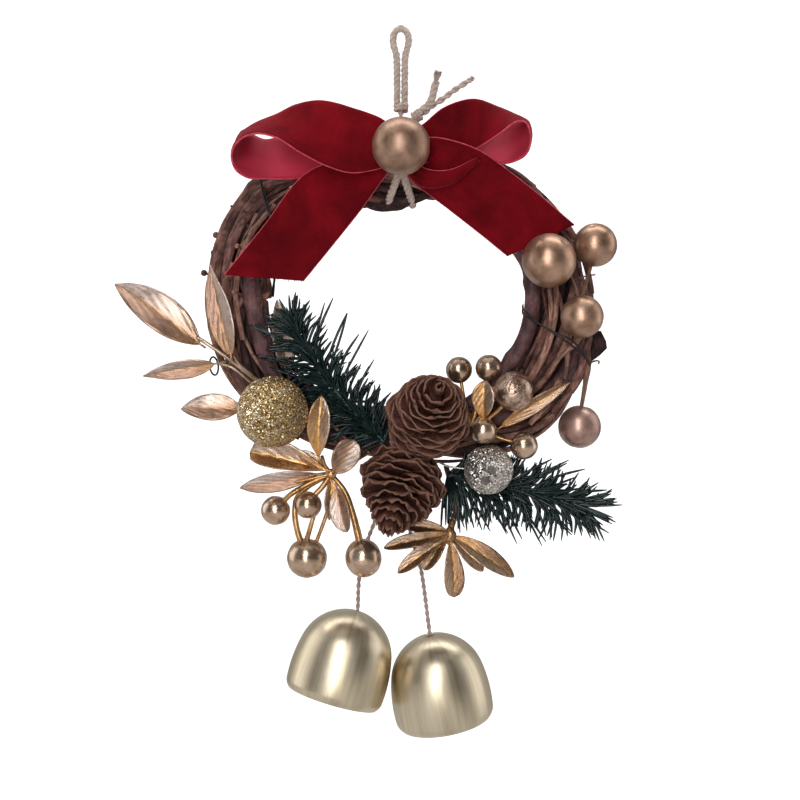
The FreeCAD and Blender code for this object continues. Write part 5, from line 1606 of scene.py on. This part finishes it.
BELL_RADIUS, BELL_HEIGHT, BELL_WALL, BELL_HOLE = 19.1, 35.2, 0.8, 1.6
CROWN_ARC = 0.97 * BELL_RADIUS
WAIST_ARC = 2.84 * BELL_RADIUS
LIP_ARC = 0.254 * BELL_RADIUS
MOUTH_RADIUS = 0.925 * BELL_RADIUS
crown_z, waist_z, lip_z = 0.995 * BELL_HEIGHT, 0.60 * BELL_HEIGHT, 0.094 * BELL_HEIGHT
waist, lip = (MOUTH_RADIUS, waist_z), (BELL_RADIUS, lip_z)
inner_waist = (MOUTH_RADIUS - 0.95 * BELL_WALL, waist_z - 0.3 * BELL_WALL)
inner_lip = (BELL_RADIUS - BELL_WALL, lip_z)
bell_profile = (
    arc((BELL_HOLE, crown_z), waist, CROWN_ARC, 1, 22)
    + arc(waist, lip, WAIST_ARC, 1, 16)[1:]
    + arc(lip, (MOUTH_RADIUS, 0.25), LIP_ARC, 1, 12)[1:]
    + [(MOUTH_RADIUS - 0.14, 0.06), (MOUTH_RADIUS - 0.4, 0.0), (MOUTH_RADIUS - 0.68, 0.06)]
    + arc((MOUTH_RADIUS - BELL_WALL, 0.25), inner_lip, LIP_ARC, -1, 8)
    + arc(inner_lip, inner_waist, WAIST_ARC, -1, 10)[1:]
    + arc(inner_waist, (BELL_HOLE, crown_z - BELL_WALL), CROWN_ARC - BELL_WALL, -1, 16)[1:])
for name in ("left", "right"):
    joint = joints[name + "_bell_spin"]
    axis = Vector(joint["axis"]).normalized()
    apex = Vector(joint["pos_m"]) / MM + axis * (BELL_WALL / 2 + 0.15)
    part = Part()
    lathe(part, bell_profile, apex - axis * BELL_HEIGHT, axis, 144)
    part.make(name + "_bell_brushed", ["bell"], name + "_bell_shell", name + "_bell")

# Cords from the knot to the bells: (side, seed, points between).
CORDS = [("left", 55, [(-9.68, 8.4, -185.46), (-13.8, 8.4, -196.8), (-16.02, 8.4, -207.94)]),
         ("right", 56, [(4.9, 8.4, -195.29), (7.66, 8.4, -204.87)])]
knot_centre = node_box("bell_cord_knot")[0]
for name, seed, points in CORDS:
    pivot = Vector(joints[name + "_bell_spin"]["pos_m"]) / MM
    middle = [Vector(point) for point in points]
    leave = (middle[0] - knot_centre).normalized()
    arrive = (middle[-1] - pivot).normalized()
    path = spline([knot_centre + leave * 3.9] + middle
                  + [pivot + arrive * 3.0, pivot + arrive * 0.3], 0.6)
    part = Part()
    rope(part, path, 0.88, 2, 5.2, 8, seed=seed)
    hairs(part, path, 0.85, 40, length=(0.5, 1.3), seed=60, thick=0.03)
    part.make(name + "_bell_cord_twist", ["cord"], name + "_bell_cord", name + "_cord")

centre, half = node_box("bell_cord_wrap")
wrap_radius = half.z - 0.85
part = Part()
path = [centre + Vector((0, wrap_radius * sin(tau * i / 80), wrap_radius * cos(tau * i / 80)))
        for i in range(80)]
rope(part, path, 0.86, 2, 5.0, 8, True, seed=61)
part.make("bell_cord_wrap_twist", ["cord"], "bell_cord_wrap", "bell_wrap")
part = Part()
path = coil(knot_centre + Vector((0, 0, 2.4)), (2.5, 0, 0), (0, 2.4, 0), (0, 0, -4.8),
            turns=4.2, count=110, swell=lambda u: sin(pi * (0.12 + 0.76 * u)))
rope(part, path, 0.95, 2, 4.2, 7, seed=62)
orb(part, knot_centre, 2.7, (0, 0, 1), 0, 24, 16, lump=0.08)
part.make("bell_cord_knot_twist", ["cord"], "bell_cord_knot", "bell_knot")


# ------------------------------------------------------------------ wires and short stems
def binding_wire(node, points, shift):
    """Two wires side by side; shift(gap, sway) offsets a point of a strand."""
    part = Part()
    for gap in (0.0, 0.9):
        path = [point + Vector(shift(gap, 0.5 * sin(i * 0.19 + gap * 3)))
                for i, point in enumerate(spline(points, 0.7))]
        tube(part, path, 0.36, 7)
    part.make(node + "_twist", ["wire"], node)


binding_wire("binding_wire_left",
             [(-51.66, -5, -51.6), (-52.73, -11, -54.58), (-52.13, -14, -58.67),
              (-50.56, -15.2, -64.39), (-49.04, -15.6, -70.38), (-47.59, -15, -77.02),
              (-46.3, -12, -82.73), (-47, -7, -85.71)],
             lambda gap, sway: (sway, 0.1 * gap, -0.3 * gap))
binding_wire("binding_wire_right",
             [(46.14, -4, -104), (45.75, -10, -106.18), (47.65, -15.2, -108.28),
              (51.62, -16.8, -111.32), (57.52, -17.2, -115.05), (63.46, -17.2, -118.39),
              (68.08, -15.4, -122.42), (70.66, -12, -127.2), (69.77, -9.6, -132.4)],
             lambda gap, sway: (0, 0.1 * gap, sway - gap))

BALL_STEMS = [
    (1.0, 0.9, [(56.7, -9, -97.12), (56, -13, -93.63), (55.07, -15.4, -88.58)]),
    (1.0, 0.9, [(68.05, -8, -100.82), (70.11, -10, -93.43), (72.25, -11, -85.27)]),
    (1.0, 0.9, [(63.93, -12, -118.97), (65.93, -14.6, -115.33), (67.34, -15.4, -110.89)]),
    (1.7, 0.85, [(70.96, -9, -121.14), (69.97, -11.4, -127.18), (69.26, -11, -131.67),
                 (68.71, -9, -136.9), (67.83, -6.4, -143.29)]),
    (0.7, 0.7, [(25.96, -8, -161.7), (27.39, -10, -163.88), (29.57, -11.5, -164.95)])]
BALL_WIRE = [(0.5, 0.42, [(13.48, -12.5, -162.68), (17.19, -13.4, -164.51),
                          (21.27, -14, -165.24), (24.99, -14.2, -165.6)])]
part = Part()
moulded(part, BALL_STEMS, 40)
moulded(part, BALL_WIRE, 47, slot=1)
part.make("ball_stems_wrapped", ["stem", "silver_wire"], "ball_stems")

part = Part()
path = spline([(17.21, 3, -165.08), (19.46, 1.5, -173.41), (20.91, -1, -180.88),
               (19.68, -4.4, -185.98)], 1.2)
cane(part, path, 1.1, 611, 3, 10, knots=False, taper=(1.0, 0.9))
part.make("low_cluster_stem_wrapped", ["bark_a", "bark_b", "bark_c", "stem"], "low_cluster_stem")

# ------------------------------------------------------------------ CAD nodes that stay
KEPT_NODES = {
    "small_wire_ring": "wire", "left_stop_knot": "cord", "right_stop_knot": "cord",
    "left_clapper_link": "silver_wire", "right_clapper_link": "silver_wire",
    "left_clapper": "clapper", "right_clapper": "clapper"}
for thing in list(bpy.data.objects):
    node = thing.name.split(".")[0]
    if thing.type == "MESH" and node in KEPT_NODES:
        for material_slot in thing.material_slots:
            material_slot.material = MATERIALS[KEPT_NODES[node]]

# ------------------------------------------------------------------ stage, light and camera
scene = bpy.context.scene
scene.view_settings.view_transform = "Standard"


def backdrop():
    """A paper floor that sweeps up into a wall behind; metres."""
    floor_z, wall_y, bend, half_width = -0.46, 1.60, 0.40, 3.4
    profile = [(-2.2, floor_z), (wall_y - bend, floor_z)]
    for i in range(1, 17):
        angle = pi / 2 * i / 16
        profile.append((wall_y - bend + bend * sin(angle), floor_z + bend - bend * cos(angle)))
    profile.append((wall_y, 2.2))
    points = [(x, y, z) for y, z in profile for x in (-half_width, half_width)]
    faces = [(2 * i, 2 * i + 1, 2 * i + 3, 2 * i + 2) for i in range(len(profile) - 1)]
    mesh = bpy.data.meshes.new("backdrop")
    mesh.from_pydata(points, [], faces)
    for face in mesh.polygons:
        face.use_smooth = True
    thing = bpy.data.objects.new("backdrop", mesh)
    scene.collection.objects.link(thing)
    mat = Material("pale_paper")
    mottle = mat.noise(mat.coords(), scale=9, detail=3, rough=0.5)
    seen = mat.node("LightPath").outputs["Is Camera Ray"]
    mat.set(Base_Color=mat.ramp(mottle, [(0.3, (0.50,) * 3), (0.7, (0.54,) * 3)]),
            Roughness=0.95, Emission_Color=(1, 1, 1),
            Emission_Strength=mat.remap(seen, (0, 1), (0.10, 0.95)))
    mesh.materials.append(mat.material)


backdrop()

# Grey of the room by compass turn: 0 and 1 are behind the wreath, 0.5 is in front of it.
ROOM = [(0.0, 0.75), (0.17, 0.80), (0.25, 0.42), (0.33, 0.14), (0.42, 0.10), (0.475, 0.20),
        (0.5, 0.30), (0.535, 0.16), (0.60, 0.09), (0.68, 0.14), (0.75, 0.42), (0.83, 0.80),
        (1.0, 0.75)]
world = bpy.data.worlds.new("studio")
scene.world = world
world.use_nodes = True
sky = Shader(world.node_tree)
view = sky.node("TexCoord").outputs["Generated"]
x, y = sky.node("SeparateXYZ", {0: view}).outputs[:2]
turn = sky.calc("ARCTAN2", x, sky.calc("MULTIPLY", y, -1.0))
room = sky.ramp(sky.remap(turn, (-pi, pi), (0, 1)), [(at, (grey,) * 3) for at, grey in ROOM])
lit = sky.node("Background", {0: room, 1: 0.72}).outputs[0]
plain = sky.node("Background", {0: (1, 1, 1)}).outputs[0]
seen = sky.node("LightPath").outputs["Is Camera Ray"]
both = sky.node("MixShader", {0: seen, 1: lit, 2: plain}).outputs[0]
sky.node("OutputWorld", {0: both})


def area(name, location, width, height, power, target=(0, 0, -0.14)):
    """A rectangular light aimed at a target; metres and watts."""
    light = bpy.data.lights.new(name, "AREA")
    light.shape = "RECTANGLE"
    light.size = width
    light.size_y = height
    light.energy = power
    thing = bpy.data.objects.new(name, light)
    scene.collection.objects.link(thing)
    thing.location = location
    aim = Vector(target) - Vector(location)
    thing.rotation_euler = aim.to_track_quat("-Z", "Y").to_euler()


area("key", (-0.15, -1.05, 0.06), width=0.30, height=1.25, power=8.6)
area("side_left", (-0.95, 0.10, 0.10), width=0.7, height=1.0, power=2.6)
area("side_right", (0.95, 0.10, 0.05), width=0.7, height=1.0, power=2.2)
area("top", (0.0, -0.10, 0.95), width=1.4, height=1.0, power=2.4)
area("wall", (0.0, 0.15, 0.9), width=1.6, height=0.5, power=9.0, target=(0, 0.75, 0.0))

CAMERA_DISTANCE = 720.0  # mm in front of the ring
VIEW_WIDTH = 304.0  # mm seen across at the ring
camera = bpy.data.cameras.new("camera")
camera.sensor_width = 36.0
camera.lens = 36.0 * CAMERA_DISTANCE / VIEW_WIDTH
thing = bpy.data.objects.new("camera", camera)
scene.collection.objects.link(thing)
thing.location = (-0.34 * MM, -CAMERA_DISTANCE * MM, -139.9 * MM)
thing.rotation_euler = (pi / 2, 0, 0)
scene.camera = thing
